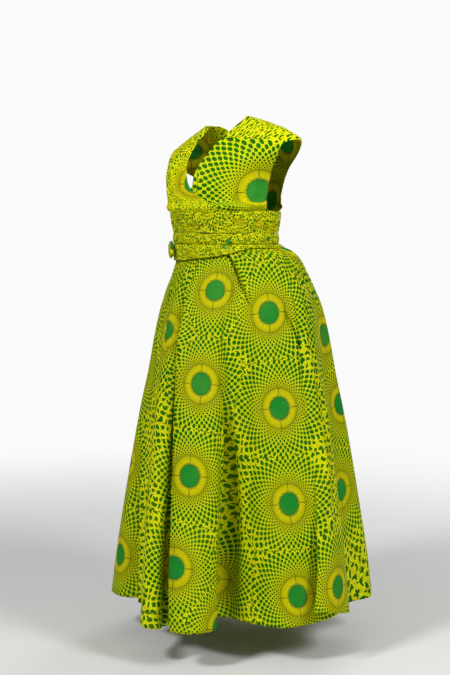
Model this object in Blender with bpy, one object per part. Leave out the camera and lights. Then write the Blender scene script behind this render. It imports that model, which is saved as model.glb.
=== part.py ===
"""Wax print wrap dress in its worn form: gathered maxi skirt, crossed wide straps and a wound sash.

Metres, +Z up. The wearer faces -Y, so the wearer's left side is +X. The origin is where the dress
hangs from: the middle of the base of the neck, at shoulder height. Angles are in degrees round the
body, 0 at the front and 90 at the wearer's left side.
"""
import bpy
import numpy as np

CLOTH = 0.0015            # wall of every cloth piece
LAYER = 0.0022            # from one cloth layer's middle to the next, which leaves 0.7 mm between walls
COLUMNS = 168             # columns of cloth round the skirt, four to each gather
RING_COLUMNS = 72         # columns round the waistband and the sash
SEAM_GAP = 0.0004         # open line at each side seam

SHOULDER_TILT = 0.16      # the wearer's left shoulder is up by this part of its distance from the middle
TILT_FULL_Z = -0.12
TILT_NONE_Z = -0.25

SASH_TOP_Z = -0.250
SASH_MIDDLE_Z = -0.310
SASH_LOWER_Z = -0.340
BAND_BOTTOM_Z = -0.347
SKIRT_TOP_Z = -0.341
HEM_Z = -1.345

# The worn form from the neck down: half width on the wearer's right and left, where the left sleeve
# stands out further over the lifted arm, and depth in front and behind.
FORM = """z       right   left    front   back
         -0.002   0.056   0.070   0.010   0.026
         -0.012   0.076   0.098   0.022   0.038
         -0.030   0.124   0.140   0.040   0.052
         -0.053   0.166   0.190   0.066   0.070
         -0.076   0.184   0.226   0.092   0.088
         -0.103   0.178   0.258   0.115   0.100
         -0.132   0.167   0.247   0.134   0.107
         -0.160   0.163   0.208   0.143   0.110
         -0.190   0.165   0.184   0.145   0.110
         -0.220   0.164   0.174   0.139   0.108
         -0.250   0.160   0.168   0.130   0.104
         -0.280   0.154   0.163   0.122   0.101
         -0.310   0.150   0.160   0.118   0.102
         -0.345   0.150   0.161   0.118   0.105
         -0.360   0.151   0.162   0.119   0.107"""

# Each strap from the front waist to the shoulder ridge: its neck edge and its armhole edge. Angles
# here grow towards the strap's own shoulder. The right strap lies over the left one.
STRAP_LEFT = """neck_angle  neck_z   arm_angle  arm_z
                -58        -0.266    79       -0.268
                -34        -0.246    79       -0.245
                -12        -0.216    79       -0.220
                  3.1      -0.190    78.5     -0.198
                  5.5      -0.156    76.5     -0.172
                  9.4      -0.115    72       -0.146
                 15.6      -0.073    69       -0.126
                 32        -0.032    72       -0.110
                 90        -0.006    90       -0.104"""
STRAP_RIGHT = """neck_angle  neck_z   arm_angle  arm_z
                 -58        -0.266    79       -0.268
                 -34        -0.246    79       -0.245
                 -14        -0.216    79       -0.220
                  -3.1      -0.190    78       -0.198
                   3.3      -0.140    76       -0.168
                   6.0      -0.110    74       -0.148
                   8.0      -0.070    72       -0.126
                  20        -0.018    76       -0.108
                  90        -0.006    90       -0.098"""
BACK_ARMHOLE = 19.0       # how much further round the armhole reaches behind than in front, in degrees
STRAP_ROWS = 32
STRAP_COLUMNS = 19

# The skirt from seam to hem: ring size, shift towards the wearer's back left, and how far the hem's
# folds have formed.
SKIRT = """z      right   left    front   back   shift  folds
         -0.341   0.1522  0.1632  0.1202  0.107  0.000  0.00
         -0.350   0.1560  0.1680  0.1290  0.120  0.004  0.00
         -0.360   0.1640  0.1740  0.1400  0.136  0.020  0.00
         -0.385   0.1800  0.1830  0.1530  0.150  0.036  0.01
         -0.420   0.1960  0.1960  0.1700  0.166  0.040  0.05
         -0.470   0.2160  0.2160  0.1960  0.192  0.043  0.10
         -0.520   0.2300  0.2300  0.2160  0.213  0.045  0.16
         -0.600   0.2450  0.2450  0.2390  0.235  0.045  0.23
         -0.700   0.2580  0.2580  0.2570  0.255  0.045  0.34
         -0.800   0.2750  0.2750  0.2750  0.274  0.045  0.45
         -0.950   0.2960  0.2960  0.2960  0.296  0.045  0.61
         -1.100   0.3140  0.3140  0.3140  0.314  0.045  0.76
         -1.250   0.3280  0.3280  0.3280  0.328  0.045  0.92
         -1.345   0.3350  0.3350  0.3350  0.335  0.045  1.00"""
SHIFT_ANGLE = 132.0       # direction of the shift

# The hem in plan, once round: angle and radius of each crest, valley and turn, the angle at the
# waist that its cloth hangs from, how far the hem is lifted there, and how many degrees the cloth
# leans round near the hem, which lays the lifted flap over its neighbour.
HEM = """angle  radius  waist  lift   lean
         -98    0.372  -100   0.000   0
         -90    0.350   -95   0.000   0
         -81    0.330   -89   0.000   0
         -72    0.356   -80   0.000   0
         -62    0.384   -71   0.000   0
         -51    0.350   -62   0.000   0
         -38    0.288   -52   0.000   0
         -24    0.268   -43   0.000   0
         -14    0.300   -36   0.000   0
          -8    0.346   -29   0.000   0
          -3    0.382   -23   0.000   0
           3    0.411   -16   0.000   0
           8    0.411   -11   0.000   0
          11    0.400    -8   0.000   0
          14    0.372    -5   0.000   0
          15    0.390    -3   0.000   0
          18    0.402     2   0.000   0
          26    0.382    18   0.000   0
          30    0.338    26   0.000   0
          27    0.288    32   0.000   0
          25    0.244    36   0.000   0
          32    0.224    41   0.000   0
          41    0.248    46   0.000   0
          51    0.292    51   0.000   0
          60    0.335    57   0.000   0
          66    0.345    63   0.004   7
          70    0.352    67   0.010  12
          73    0.362    71   0.020  14
          75    0.370    74   0.030   9
          77    0.378    77   0.038   0
          79    0.386    80   0.044  -8
          82    0.392    84   0.044  -8
          87    0.388    89   0.032  -3
          93    0.370    94   0.018   0
         101    0.338   100   0.006   0
         112    0.300   105   0.000   0
         122    0.312   110   0.000   0
         132    0.366   117   0.000   0
         142    0.378   125   0.000   0
         152    0.338   134   0.000   0
         162    0.302   144   0.000   0
         172    0.350   155   0.000   0
         182    0.378   166   0.000   0
         192    0.346   177   0.000   0
         201    0.304   188   0.000   0
         211    0.350   199   0.000   0
         221    0.380   210   0.000   0
         231    0.344   222   0.000   0
         240    0.304   233   0.000   0
         251    0.340   246   0.000   0"""
SKIRT_LEVELS = (0.0, 0.010, 0.030, 0.065, 0.125, 0.205, 0.315, 0.450, 0.610, 0.800, 1.0)
LEAN_GROWTH = 5.0         # power by which the lean grows down the skirt, so it shows near the hem only
GATHER_DEPTH = 0.0046     # at its deepest, just below the seam
GATHER_END = 0.26         # part of the skirt's drop by which the gathers have died away
TURN_WEIGHT = 0.011       # how strongly the columns crowd into tight turns of the hem, in metres

# Lower edge of the sash's lowest stretch, by angle.
LOWER_EDGE = """angle    z
                -180   -0.362
                -130   -0.370
                 -80   -0.383
                 -45   -0.387
                 -15   -0.384
                  10   -0.376
                  30   -0.367
                  46   -0.357
                  62   -0.350
                 110   -0.350
                 150   -0.354
                 180   -0.362"""

KNOT_ANGLE = -36.0
KNOT_Z = -0.357
KNOT_DEPTH = 0.009


def table(text):
    """Reads a table of numbers with a heading row into a dictionary of columns."""
    lines = text.strip().splitlines()
    rows = np.array([[float(word) for word in line.split()] for line in lines[1:]])
    return dict(zip(lines[0].split(), rows.T))


def follow(xs, ys, at):
    """Smooth curve through the points (xs, ys), read at other x: cubic Hermite pieces whose slopes
    are flattened where the points turn, so it never overshoots."""
    xs, ys = np.asarray(xs, float), np.asarray(ys, float)
    if xs[0] > xs[-1]:
        xs, ys = xs[::-1], ys[::-1]
    steps = np.diff(xs)
    slopes = np.diff(ys) / steps
    knots = np.concatenate(([slopes[0]], (slopes[:-1] + slopes[1:]) / 2, [slopes[-1]]))
    turns = np.concatenate(([False], slopes[:-1] * slopes[1:] <= 0, [False]))
    knots = np.where(turns, 0.0, knots)
    limit = 3 * np.minimum(np.abs(np.append(slopes, slopes[-1])), np.abs(np.insert(slopes, 0, slopes[0])))
    knots = np.clip(knots, -limit, limit)
    at = np.clip(at, xs[0], xs[-1])
    i = np.clip(np.searchsorted(xs, at, side="right") - 1, 0, len(steps) - 1)
    h, u = steps[i], (at - xs[i]) / steps[i]
    return (ys[i] * (1 + 2 * u) * (1 - u) ** 2 + knots[i] * h * u * (1 - u) ** 2
            + ys[i + 1] * u * u * (3 - 2 * u) + knots[i + 1] * h * u * u * (u - 1))


def ease(value, start, end):
    """Smooth step from 0 at start to 1 at end."""
    u = np.clip((value - start) / (end - start), 0.0, 1.0)
    return u * u * (3 - 2 * u)


form, skirt, hem, lower_edge = table(FORM), table(SKIRT), table(HEM), table(LOWER_EDGE)


def ring(rows, angle, z):
    """Points on the ring of a table of half widths and depths, at angles in radians and heights z."""
    leftward, ahead = (1 + np.sin(angle)) / 2, (1 + np.cos(angle)) / 2
    half = follow(rows["z"], rows["left"], z) * leftward + follow(rows["z"], rows["right"], z) * (1 - leftward)
    depth = follow(rows["z"], rows["front"], z) * ahead + follow(rows["z"], rows["back"], z) * (1 - ahead)
    return np.stack([half * np.sin(angle), -depth * np.cos(angle), z], axis=-1)


def figure(angle, z, out):
    """Points of the worn form, moved out along its normal, with the shoulders tilted."""
    angle, z = np.broadcast_arrays(np.asarray(angle, float), np.asarray(z, float))
    step = 1e-4
    along = ring(form, angle + step, z) - ring(form, angle - step, z)
    up = ring(form, angle, z + step) - ring(form, angle, z - step)
    normal = np.cross(along, up)
    normal /= np.linalg.norm(normal, axis=-1, keepdims=True)
    points = ring(form, angle, z) + normal * np.asarray(out, float)[..., None]
    points[..., 2] += points[..., 0] * SHOULDER_TILT * ease(z, TILT_NONE_Z, TILT_FULL_Z)
    return points


def grid_normals(points, closed):
    """Unit normals of a grid of points, rows down and columns round, pointing away from the body."""
    if closed:
        across = np.roll(points, -1, axis=1) - np.roll(points, 1, axis=1)
    else:
        across = np.gradient(points, axis=1)
    down = np.gradient(points, axis=0)
    normal = np.cross(down, across)
    return normal / np.linalg.norm(normal, axis=-1, keepdims=True)


def shell(name, points, normal, material, closed=False):
    """A cloth piece: the grid of points moved half a wall out and half a wall in, its edges joined."""
    rows, columns = points.shape[:2]
    verts = np.concatenate([(points + normal * CLOTH / 2).reshape(-1, 3),
                            (points - normal * CLOTH / 2).reshape(-1, 3)])
    index = np.arange(rows * columns).reshape(rows, columns)
    inner = rows * columns
    if closed:
        index = np.concatenate([index, index[:, :1]], axis=1)
    a, b, c, d = index[:-1, :-1], index[1:, :-1], index[1:, 1:], index[:-1, 1:]
    first = np.stack([a, b, c], -1).reshape(-1, 3)
    second = np.stack([a, c, d], -1).reshape(-1, 3)
    outside = np.concatenate([first, second])
    inside = outside[:, ::-1] + inner

    def wall(edge):
        """Two triangles for each step along an edge that runs with the outside on its left."""
        p, q = edge[:-1], edge[1:]
        return np.concatenate([np.stack([p, q, q + inner], -1), np.stack([p, q + inner, p + inner], -1)])

    edges = [wall(index[0]), wall(index[-1][::-1])]
    if not closed:
        edges += [wall(index[::-1, 0]), wall(index[:, -1])]
    faces = np.concatenate([outside, inside] + edges)
    mesh = bpy.data.meshes.new(name)
    mesh.from_pydata(verts.tolist(), [], faces.tolist())
    mesh.materials.append(material)
    mesh.validate()
    made = bpy.data.objects.new(name, mesh)
    dress.objects.link(made)
    return made


def cloth_material(name, colour):
    """Plain cloth colour for one piece."""
    made = bpy.data.materials.new(name)
    made.use_nodes = True
    shader = made.node_tree.nodes["Principled BSDF"]
    shader.inputs["Base Color"].default_value = (*colour, 1.0)
    shader.inputs["Roughness"].default_value = 0.8
    return made


def hem_curve():
    """The hem once round as fine points: x and y with the lean and without it, waist angle and lift.

    The curve is a closed chain of cubic pieces through the table's points, spaced by the distance
    between them, so it can turn back on itself at the folded flap.
    """
    angle, leaning, radius = np.radians(hem["angle"]), np.radians(hem["angle"] + hem["lean"]), hem["radius"]
    knots = np.stack([radius * np.sin(leaning), -radius * np.cos(leaning), radius * np.sin(angle),
                      -radius * np.cos(angle), hem["waist"], hem["lift"]], axis=-1)
    turn = np.array([0.0, 0.0, 0.0, 0.0, 360.0, 0.0])
    knots = np.concatenate([knots[-2:] - turn, knots, knots[:3] + turn])
    spacing = np.linalg.norm(np.diff(knots[:, :2], axis=0), axis=1)
    place = np.concatenate([[0.0], np.cumsum(spacing)])
    slope = np.zeros_like(knots)
    before, after = spacing[:-1, None], spacing[1:, None]
    gap = np.diff(knots, axis=0)
    slope[1:-1] = (gap[:-1] / before * after + gap[1:] / after * before) / (before + after)
    fine = np.linspace(place[2], place[-3], 4001)
    i = np.clip(np.searchsorted(place, fine, side="right") - 1, 2, len(place) - 4)
    h = spacing[i][:, None]
    u = ((fine - place[i]) / spacing[i])[:, None]
    points = (knots[i] * (1 + 2 * u) * (1 - u) ** 2 + slope[i] * h * u * (1 - u) ** 2
              + knots[i + 1] * u * u * (3 - 2 * u) + slope[i + 1] * h * u * u * (u - 1))
    return points


def skirt_grid():
    """The whole skirt as a closed grid: each column of cloth runs from the seam to its hem point."""
    fine = hem_curve()
    step = np.linalg.norm(np.diff(fine[:, :2], axis=0), axis=1)
    heading = np.unwrap(np.arctan2(np.diff(fine[:, 1]), np.diff(fine[:, 0])))
    turning = np.abs(np.gradient(heading)) * TURN_WEIGHT
    weight = np.concatenate([[0.0], np.cumsum(step + turning)])
    at = np.linspace(0.0, weight[-1], COLUMNS + 1)[:-1]
    end_x, end_y, x, y, waist, lift = (np.interp(at, weight, fine[:, k]) for k in range(6))
    angle = np.radians(waist)

    level = np.array(SKIRT_LEVELS)[:, None]
    z = SKIRT_TOP_Z + level * (HEM_Z - SKIRT_TOP_Z) + np.zeros_like(angle)
    points = ring(skirt, angle[None, :] + 0 * z, z)
    end = follow(skirt["z"], skirt["left"], HEM_Z)
    folds = follow(skirt["z"], skirt["folds"], z)
    late = level ** LEAN_GROWTH
    points[..., 0] += folds * (x - end * np.sin(angle)) + late * (end_x - x)
    points[..., 1] += folds * (y + end * np.cos(angle)) + late * (end_y - y)
    shift = follow(skirt["z"], skirt["shift"], z)
    points[..., 0] += shift * np.sin(np.radians(SHIFT_ANGLE))
    points[..., 1] -= shift * np.cos(np.radians(SHIFT_ANGLE))
    points[..., 2] += lift * level ** 1.5

    phase = np.arange(COLUMNS) * (np.pi / 2)
    depth = GATHER_DEPTH * (0.35 + 0.65 * ease(level, 0.0, 0.03)) * (1 - ease(level, 0.03, GATHER_END))
    points += grid_normals(points, True) * (depth * (1 + np.cos(phase)) / 2)[..., None]
    return points, waist


def panel(name, points, normal, columns, colour):
    """One skirt panel: a run of the skirt's columns, its two side edges drawn in by half the seam gap."""
    points, normal = points[:, columns].copy(), normal[:, columns]
    for edge, inward in ((0, 1), (-1, -2)):
        way = points[:, inward] - points[:, edge]
        points[:, edge] += way / np.linalg.norm(way, axis=-1, keepdims=True) * SEAM_GAP / 2
    return shell(name, points, normal, cloth_material(name + "_cloth", colour))


def strap_rows(strap):
    """A strap's rows from the front waist over the shoulder to the back waist, which mirrors the
    front but leaves a wider armhole."""
    front = np.stack([strap[k] for k in ("neck_angle", "neck_z", "arm_angle", "arm_z")], axis=-1)
    back = front[-2::-1] * (-1, 1, -1, 1) + (180, 0, 180, 0)
    back[:, 2] += BACK_ARMHOLE * ease(-back[:, 3], 0.10, 0.16)
    rows = np.concatenate([front, back])
    middle = figure(np.radians(rows[:, 0] + rows[:, 2]) / 2, (rows[:, 1] + rows[:, 3]) / 2, 0.0 * rows[:, 0])
    place = np.concatenate([[0.0], np.cumsum(np.linalg.norm(np.diff(middle, axis=0), axis=1))])
    at = np.linspace(0, place[-1], STRAP_ROWS)
    return np.stack([follow(place, rows[:, k], at) for k in range(4)], axis=-1)


def make_strap(name, strap, side, layers, colour):
    """One strap: straight lines across it in angle and height, laid on the worn form. side is 1 for
    the wearer's left and -1 for the right."""
    rows = strap_rows(strap)
    across = np.linspace(0.0, 1.0, STRAP_COLUMNS)
    angle = rows[:, :1] + (rows[:, 2:3] - rows[:, :1]) * across
    z = rows[:, 1:2] + (rows[:, 3:4] - rows[:, 1:2]) * across
    angle = np.radians(angle) * side
    out = np.full(z.shape, layers * LAYER)
    middle = figure(angle, z, out)
    outward = figure(angle, z, out + 0.001) - middle
    normal = outward / np.linalg.norm(outward, axis=-1, keepdims=True)
    if side > 0:
        middle, normal = middle[::-1], normal[::-1]
    return shell(name, middle, normal, cloth_material(name + "_cloth", colour))


def make_stretch(name, top, bottom, layers, bulge, rows, colour):
    """One band of cloth round the waist. layers gives its place at the top and bottom edges, and bulge
    how much fuller it is at its middle."""
    angle = np.radians(np.arange(RING_COLUMNS) * 360.0 / RING_COLUMNS)[None, :]
    part = np.linspace(0.0, 1.0, rows)[:, None]
    z = top + part * (bottom - top) + 0 * angle
    out = (layers[0] + (layers[1] - layers[0]) * part) * LAYER + bulge * np.sin(np.pi * part) + 0 * angle
    middle = figure(angle + 0 * z, z, out)
    return shell(name, middle, grid_normals(middle, True), cloth_material(name + "_cloth", colour), True)


def lower_stretch_grid():
    """Middle of the sash's lowest stretch, over the top of the skirt, clear of the gathers' tops."""
    top = SASH_LOWER_Z - 0.0012
    angle = np.arange(RING_COLUMNS) * 360.0 / RING_COLUMNS - 180.0
    bottom = follow(lower_edge["angle"], lower_edge["z"], angle)
    part = np.linspace(0.0, 1.0, 4)[:, None]
    z = top + part * (bottom - top)
    turn = np.radians(angle)[None, :] + 0 * z
    middle = ring(skirt, turn, z)
    shift = follow(skirt["z"], skirt["shift"], z)
    middle[..., 0] += shift * np.sin(np.radians(SHIFT_ANGLE))
    middle[..., 1] -= shift * np.cos(np.radians(SHIFT_ANGLE))
    out = GATHER_DEPTH + LAYER + 0.0022 + 0.0018 * part + 0.0015 * np.sin(np.pi * part) + 0 * z
    level_way = grid_normals(middle, True) * (1, 1, 0)
    return middle + level_way / np.linalg.norm(level_way, axis=-1, keepdims=True) * out[..., None]


def make_knot(name, under, colour):
    """The knot: a flattened ball with a waist across it, where the two ends pass through each other,
    seated on the grid of cloth under it."""
    round_, down = 20, 10
    turn = np.linspace(0, 2 * np.pi, round_, endpoint=False)[None, :]
    tip = np.linspace(0.06, np.pi - 0.06, down)[:, None]
    size = 1 + 0.16 * np.cos(2 * turn) * np.sin(tip) + 0.07 * np.cos(3 * tip + turn)
    local = np.stack([0.022 * size * np.sin(tip) * np.cos(turn), KNOT_DEPTH * size * np.sin(tip) * np.sin(turn),
                      0.024 * size * np.cos(tip) + 0 * turn], axis=-1)
    angle = np.radians(KNOT_ANGLE)
    outward = np.array([np.sin(angle), -np.cos(angle), 0.0])
    off_angle = np.abs(np.arctan2(under[..., 0], -under[..., 1]) - angle)
    near = np.argmin(off_angle / np.radians(2.0) + np.abs(under[..., 2] - KNOT_Z) / 0.01)
    seat = under.reshape(-1, 3)[near] + outward * (KNOT_DEPTH + CLOTH / 2)
    along = np.array([np.cos(angle), np.sin(angle), 0.0])
    points = seat + local[..., :1] * along + local[..., 1:2] * -outward + local[..., 2:] * np.array([0, 0, 1.0])
    index = np.arange(down * round_).reshape(down, round_)
    index = np.concatenate([index, index[:, :1]], axis=1)
    a, b, c, d = index[:-1, :-1], index[1:, :-1], index[1:, 1:], index[:-1, 1:]
    faces = np.concatenate([np.stack([a, b, c], -1).reshape(-1, 3), np.stack([a, c, d], -1).reshape(-1, 3)])
    caps = [index[0, :-1].tolist(), index[-1, :-1][::-1].tolist()]
    mesh = bpy.data.meshes.new(name)
    mesh.from_pydata(points.reshape(-1, 3).tolist(), [], faces.tolist() + caps)
    mesh.materials.append(cloth_material(name + "_cloth", colour))
    mesh.validate()
    made = bpy.data.objects.new(name, mesh)
    dress.objects.link(made)
    return made


for old in list(bpy.data.objects):
    bpy.data.objects.remove(old, do_unlink=True)
dress = bpy.data.collections.new("wax_print_dress")
bpy.context.scene.collection.children.link(dress)

LIME = (0.62, 0.70, 0.03)
DEEP = (0.50, 0.62, 0.03)

skirt_points, waist_angles = skirt_grid()
skirt_normals = grid_normals(skirt_points, True)
seam_right = int(np.argmin(np.abs(waist_angles + 90)))
seam_left = int(np.argmin(np.abs(waist_angles - 90)))
front_columns = np.arange(seam_right, seam_left + 1)
back_columns = np.arange(seam_left, seam_right + COLUMNS + 1) % COLUMNS
panel("skirt_front", skirt_points, skirt_normals, front_columns, LIME)
panel("skirt_back", skirt_points, skirt_normals, back_columns, LIME)

make_stretch("waistband", SASH_TOP_Z - 0.006, BAND_BOTTOM_Z, (-0.8, 0.1), 0.0, 4, DEEP)
make_strap("strap_left", table(STRAP_LEFT), 1, 0.9, LIME)
make_strap("strap_right", table(STRAP_RIGHT), -1, 2.6, LIME)
make_stretch("sash_upper", SASH_TOP_Z, SASH_MIDDLE_Z, (3.6, 3.6), 0.003, 4, DEEP)
make_stretch("sash_middle", SASH_MIDDLE_Z - 0.0007, SASH_LOWER_Z, (3.6, 3.6), 0.002, 3, DEEP)
lower = lower_stretch_grid()
shell("sash_lower", lower, grid_normals(lower, True), cloth_material("sash_lower_cloth", DEEP), True)
make_knot("sash_knot", lower, DEEP)
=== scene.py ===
import math

import bpy
import numpy as np
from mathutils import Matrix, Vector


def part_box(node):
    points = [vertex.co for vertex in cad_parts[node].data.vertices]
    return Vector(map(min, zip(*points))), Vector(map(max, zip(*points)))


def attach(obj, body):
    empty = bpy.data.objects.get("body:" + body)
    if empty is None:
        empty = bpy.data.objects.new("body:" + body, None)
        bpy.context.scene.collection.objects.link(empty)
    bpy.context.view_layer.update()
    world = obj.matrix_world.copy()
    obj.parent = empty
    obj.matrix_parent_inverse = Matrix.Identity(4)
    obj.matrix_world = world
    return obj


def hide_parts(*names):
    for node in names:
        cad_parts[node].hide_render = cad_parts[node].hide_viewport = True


# Wax print wrap dress in its worn form. Metres, +Z up. The dress's front faces -Y and its left side is +X.
# The first tables repeat the CAD source's, so that each cloth piece lies on its solid.

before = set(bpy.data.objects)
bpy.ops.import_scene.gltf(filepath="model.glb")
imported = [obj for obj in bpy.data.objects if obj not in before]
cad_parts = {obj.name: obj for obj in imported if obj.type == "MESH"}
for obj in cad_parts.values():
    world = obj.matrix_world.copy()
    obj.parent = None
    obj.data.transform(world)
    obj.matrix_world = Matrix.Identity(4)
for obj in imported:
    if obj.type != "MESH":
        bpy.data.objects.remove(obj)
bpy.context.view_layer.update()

CLOTH = 0.0012            # wall of every cloth piece
LAYER = 0.0022            # from one cloth layer's middle to the next
SKIRT_COLUMNS = 672       # columns of cloth round the skirt; the print and crease tables count in these
SKIRT_ROWS = 130
SEAM_COLUMNS = (24, 388)  # the side seams, below the right and the left armhole
SEAM_GAP = 0.0004
RING_COLUMNS = 720        # columns of cloth round each stretch of the sash
STRAP_ROWS = 220
STRAP_COLUMNS = 96

SHOULDER_TILT = 0.16      # the left shoulder is up by this part of its distance from the middle
TILT_FULL_Z = -0.12
TILT_NONE_Z = -0.25
SASH_TOP_Z = -0.250
SASH_MIDDLE_Z = -0.310
SASH_LOWER_Z = -0.340
BAND_BOTTOM_Z = -0.347
SKIRT_TOP_Z = -0.341
HEM_Z = -1.345
FLOOR_Z = -1.452

# The worn form from the neck down: half widths on the right and left, depth in front and behind.
FORM = """z       right   left    front   back
         -0.002   0.056   0.070   0.010   0.026
         -0.012   0.076   0.098   0.022   0.038
         -0.030   0.124   0.140   0.040   0.052
         -0.053   0.166   0.190   0.066   0.070
         -0.076   0.184   0.226   0.092   0.088
         -0.103   0.178   0.258   0.115   0.100
         -0.132   0.167   0.247   0.134   0.107
         -0.160   0.163   0.208   0.143   0.110
         -0.190   0.165   0.184   0.145   0.110
         -0.220   0.164   0.174   0.139   0.108
         -0.250   0.160   0.168   0.130   0.104
         -0.280   0.154   0.163   0.122   0.101
         -0.310   0.150   0.160   0.118   0.102
         -0.345   0.150   0.161   0.118   0.105
         -0.360   0.151   0.162   0.119   0.107"""

# Each strap from the front waist to the shoulder ridge: its neck edge and its armhole edge, in degrees
# towards the strap's own shoulder.
STRAP_LEFT = """neck_angle  neck_z   arm_angle  arm_z
                -58        -0.266    79       -0.268
                -34        -0.246    79       -0.245
                -12        -0.216    79       -0.220
                  3.1      -0.190    78.5     -0.198
                  5.5      -0.156    76.5     -0.172
                  9.4      -0.115    72       -0.146
                 15.6      -0.073    69       -0.126
                 32        -0.032    72       -0.110
                 90        -0.006    90       -0.104"""
STRAP_RIGHT = """neck_angle  neck_z   arm_angle  arm_z
                 -58        -0.266    79       -0.268
                 -34        -0.246    79       -0.245
                 -14        -0.216    79       -0.220
                  -3.1      -0.190    78       -0.198
                   3.3      -0.140    76       -0.168
                   6.0      -0.110    74       -0.148
                   8.0      -0.070    72       -0.126
                  20        -0.018    76       -0.108
                  90        -0.006    90       -0.098"""
BACK_ARMHOLE = 19.0       # how much further round the armhole reaches behind than in front, in degrees

# The skirt from seam to hem: ring size, shift towards the back left, and the hem folds' growth.
SKIRT = """z      right   left    front   back   shift  folds
         -0.341   0.1522  0.1632  0.1202  0.107  0.000  0.00
         -0.350   0.1560  0.1680  0.1290  0.120  0.004  0.00
         -0.360   0.1640  0.1740  0.1400  0.136  0.020  0.00
         -0.385   0.1800  0.1830  0.1530  0.150  0.036  0.01
         -0.420   0.1960  0.1960  0.1700  0.166  0.040  0.05
         -0.470   0.2160  0.2160  0.1960  0.192  0.043  0.10
         -0.520   0.2300  0.2300  0.2160  0.213  0.045  0.16
         -0.600   0.2450  0.2450  0.2390  0.235  0.045  0.23
         -0.700   0.2580  0.2580  0.2570  0.255  0.045  0.34
         -0.800   0.2750  0.2750  0.2750  0.274  0.045  0.45
         -0.950   0.2960  0.2960  0.2960  0.296  0.045  0.61
         -1.100   0.3140  0.3140  0.3140  0.314  0.045  0.76
         -1.250   0.3280  0.3280  0.3280  0.328  0.045  0.92
         -1.345   0.3350  0.3350  0.3350  0.335  0.045  1.00"""
SHIFT_ANGLE = 132.0       # degrees from the front towards the left
GATHER_DEPTH = 0.0046     # the solid's gathers, which the sash clears

# The hem in plan, once round: angle and radius of each crest, valley and turn, the angle at the waist
# that its cloth hangs from, its lift, and how many degrees the cloth leans round near the hem.
HEM = """angle  radius  waist  lift   lean
         -98    0.372  -100   0.000   0
         -90    0.350   -95   0.000   0
         -81    0.330   -89   0.000   0
         -72    0.356   -80   0.000   0
         -62    0.384   -71   0.000   0
         -51    0.350   -62   0.000   0
         -38    0.288   -52   0.000   0
         -24    0.268   -43   0.000   0
         -14    0.300   -36   0.000   0
          -8    0.346   -29   0.000   0
          -3    0.382   -23   0.000   0
           3    0.411   -16   0.000   0
           8    0.411   -11   0.000   0
          11    0.400    -8   0.000   0
          14    0.372    -5   0.000   0
          15    0.390    -3   0.000   0
          18    0.402     2   0.000   0
          26    0.382    18   0.000   0
          30    0.338    26   0.000   0
          27    0.288    32   0.000   0
          25    0.244    36   0.000   0
          32    0.224    41   0.000   0
          41    0.248    46   0.000   0
          51    0.292    51   0.000   0
          60    0.335    57   0.000   0
          66    0.345    63   0.004   7
          70    0.352    67   0.010  12
          73    0.362    71   0.020  14
          75    0.370    74   0.030   9
          77    0.378    77   0.038   0
          79    0.386    80   0.044  -8
          82    0.392    84   0.044  -8
          87    0.388    89   0.032  -3
          93    0.370    94   0.018   0
         101    0.338   100   0.006   0
         112    0.300   105   0.000   0
         122    0.312   110   0.000   0
         132    0.366   117   0.000   0
         142    0.378   125   0.000   0
         152    0.338   134   0.000   0
         162    0.302   144   0.000   0
         172    0.350   155   0.000   0
         182    0.378   166   0.000   0
         192    0.346   177   0.000   0
         201    0.304   188   0.000   0
         211    0.350   199   0.000   0
         221    0.380   210   0.000   0
         231    0.344   222   0.000   0
         240    0.304   233   0.000   0
         251    0.340   246   0.000   0"""
LEAN_GROWTH = 5.0         # power of the level with which the lean comes in
TURN_WEIGHT = 0.011       # metres of hem that each radian of its turns counts as, for the columns' spacing

# Lower edge of the sash's lowest stretch, by angle.
LOWER_EDGE = """angle    z
                -180   -0.362
                -130   -0.370
                 -80   -0.383
                 -45   -0.387
                 -15   -0.384
                  10   -0.376
                  30   -0.367
                  46   -0.357
                  62   -0.350
                 110   -0.350
                 150   -0.354
                 180   -0.362"""
KNOT_ANGLE = -36.0
KNOT_DEPTH = 0.009

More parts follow.
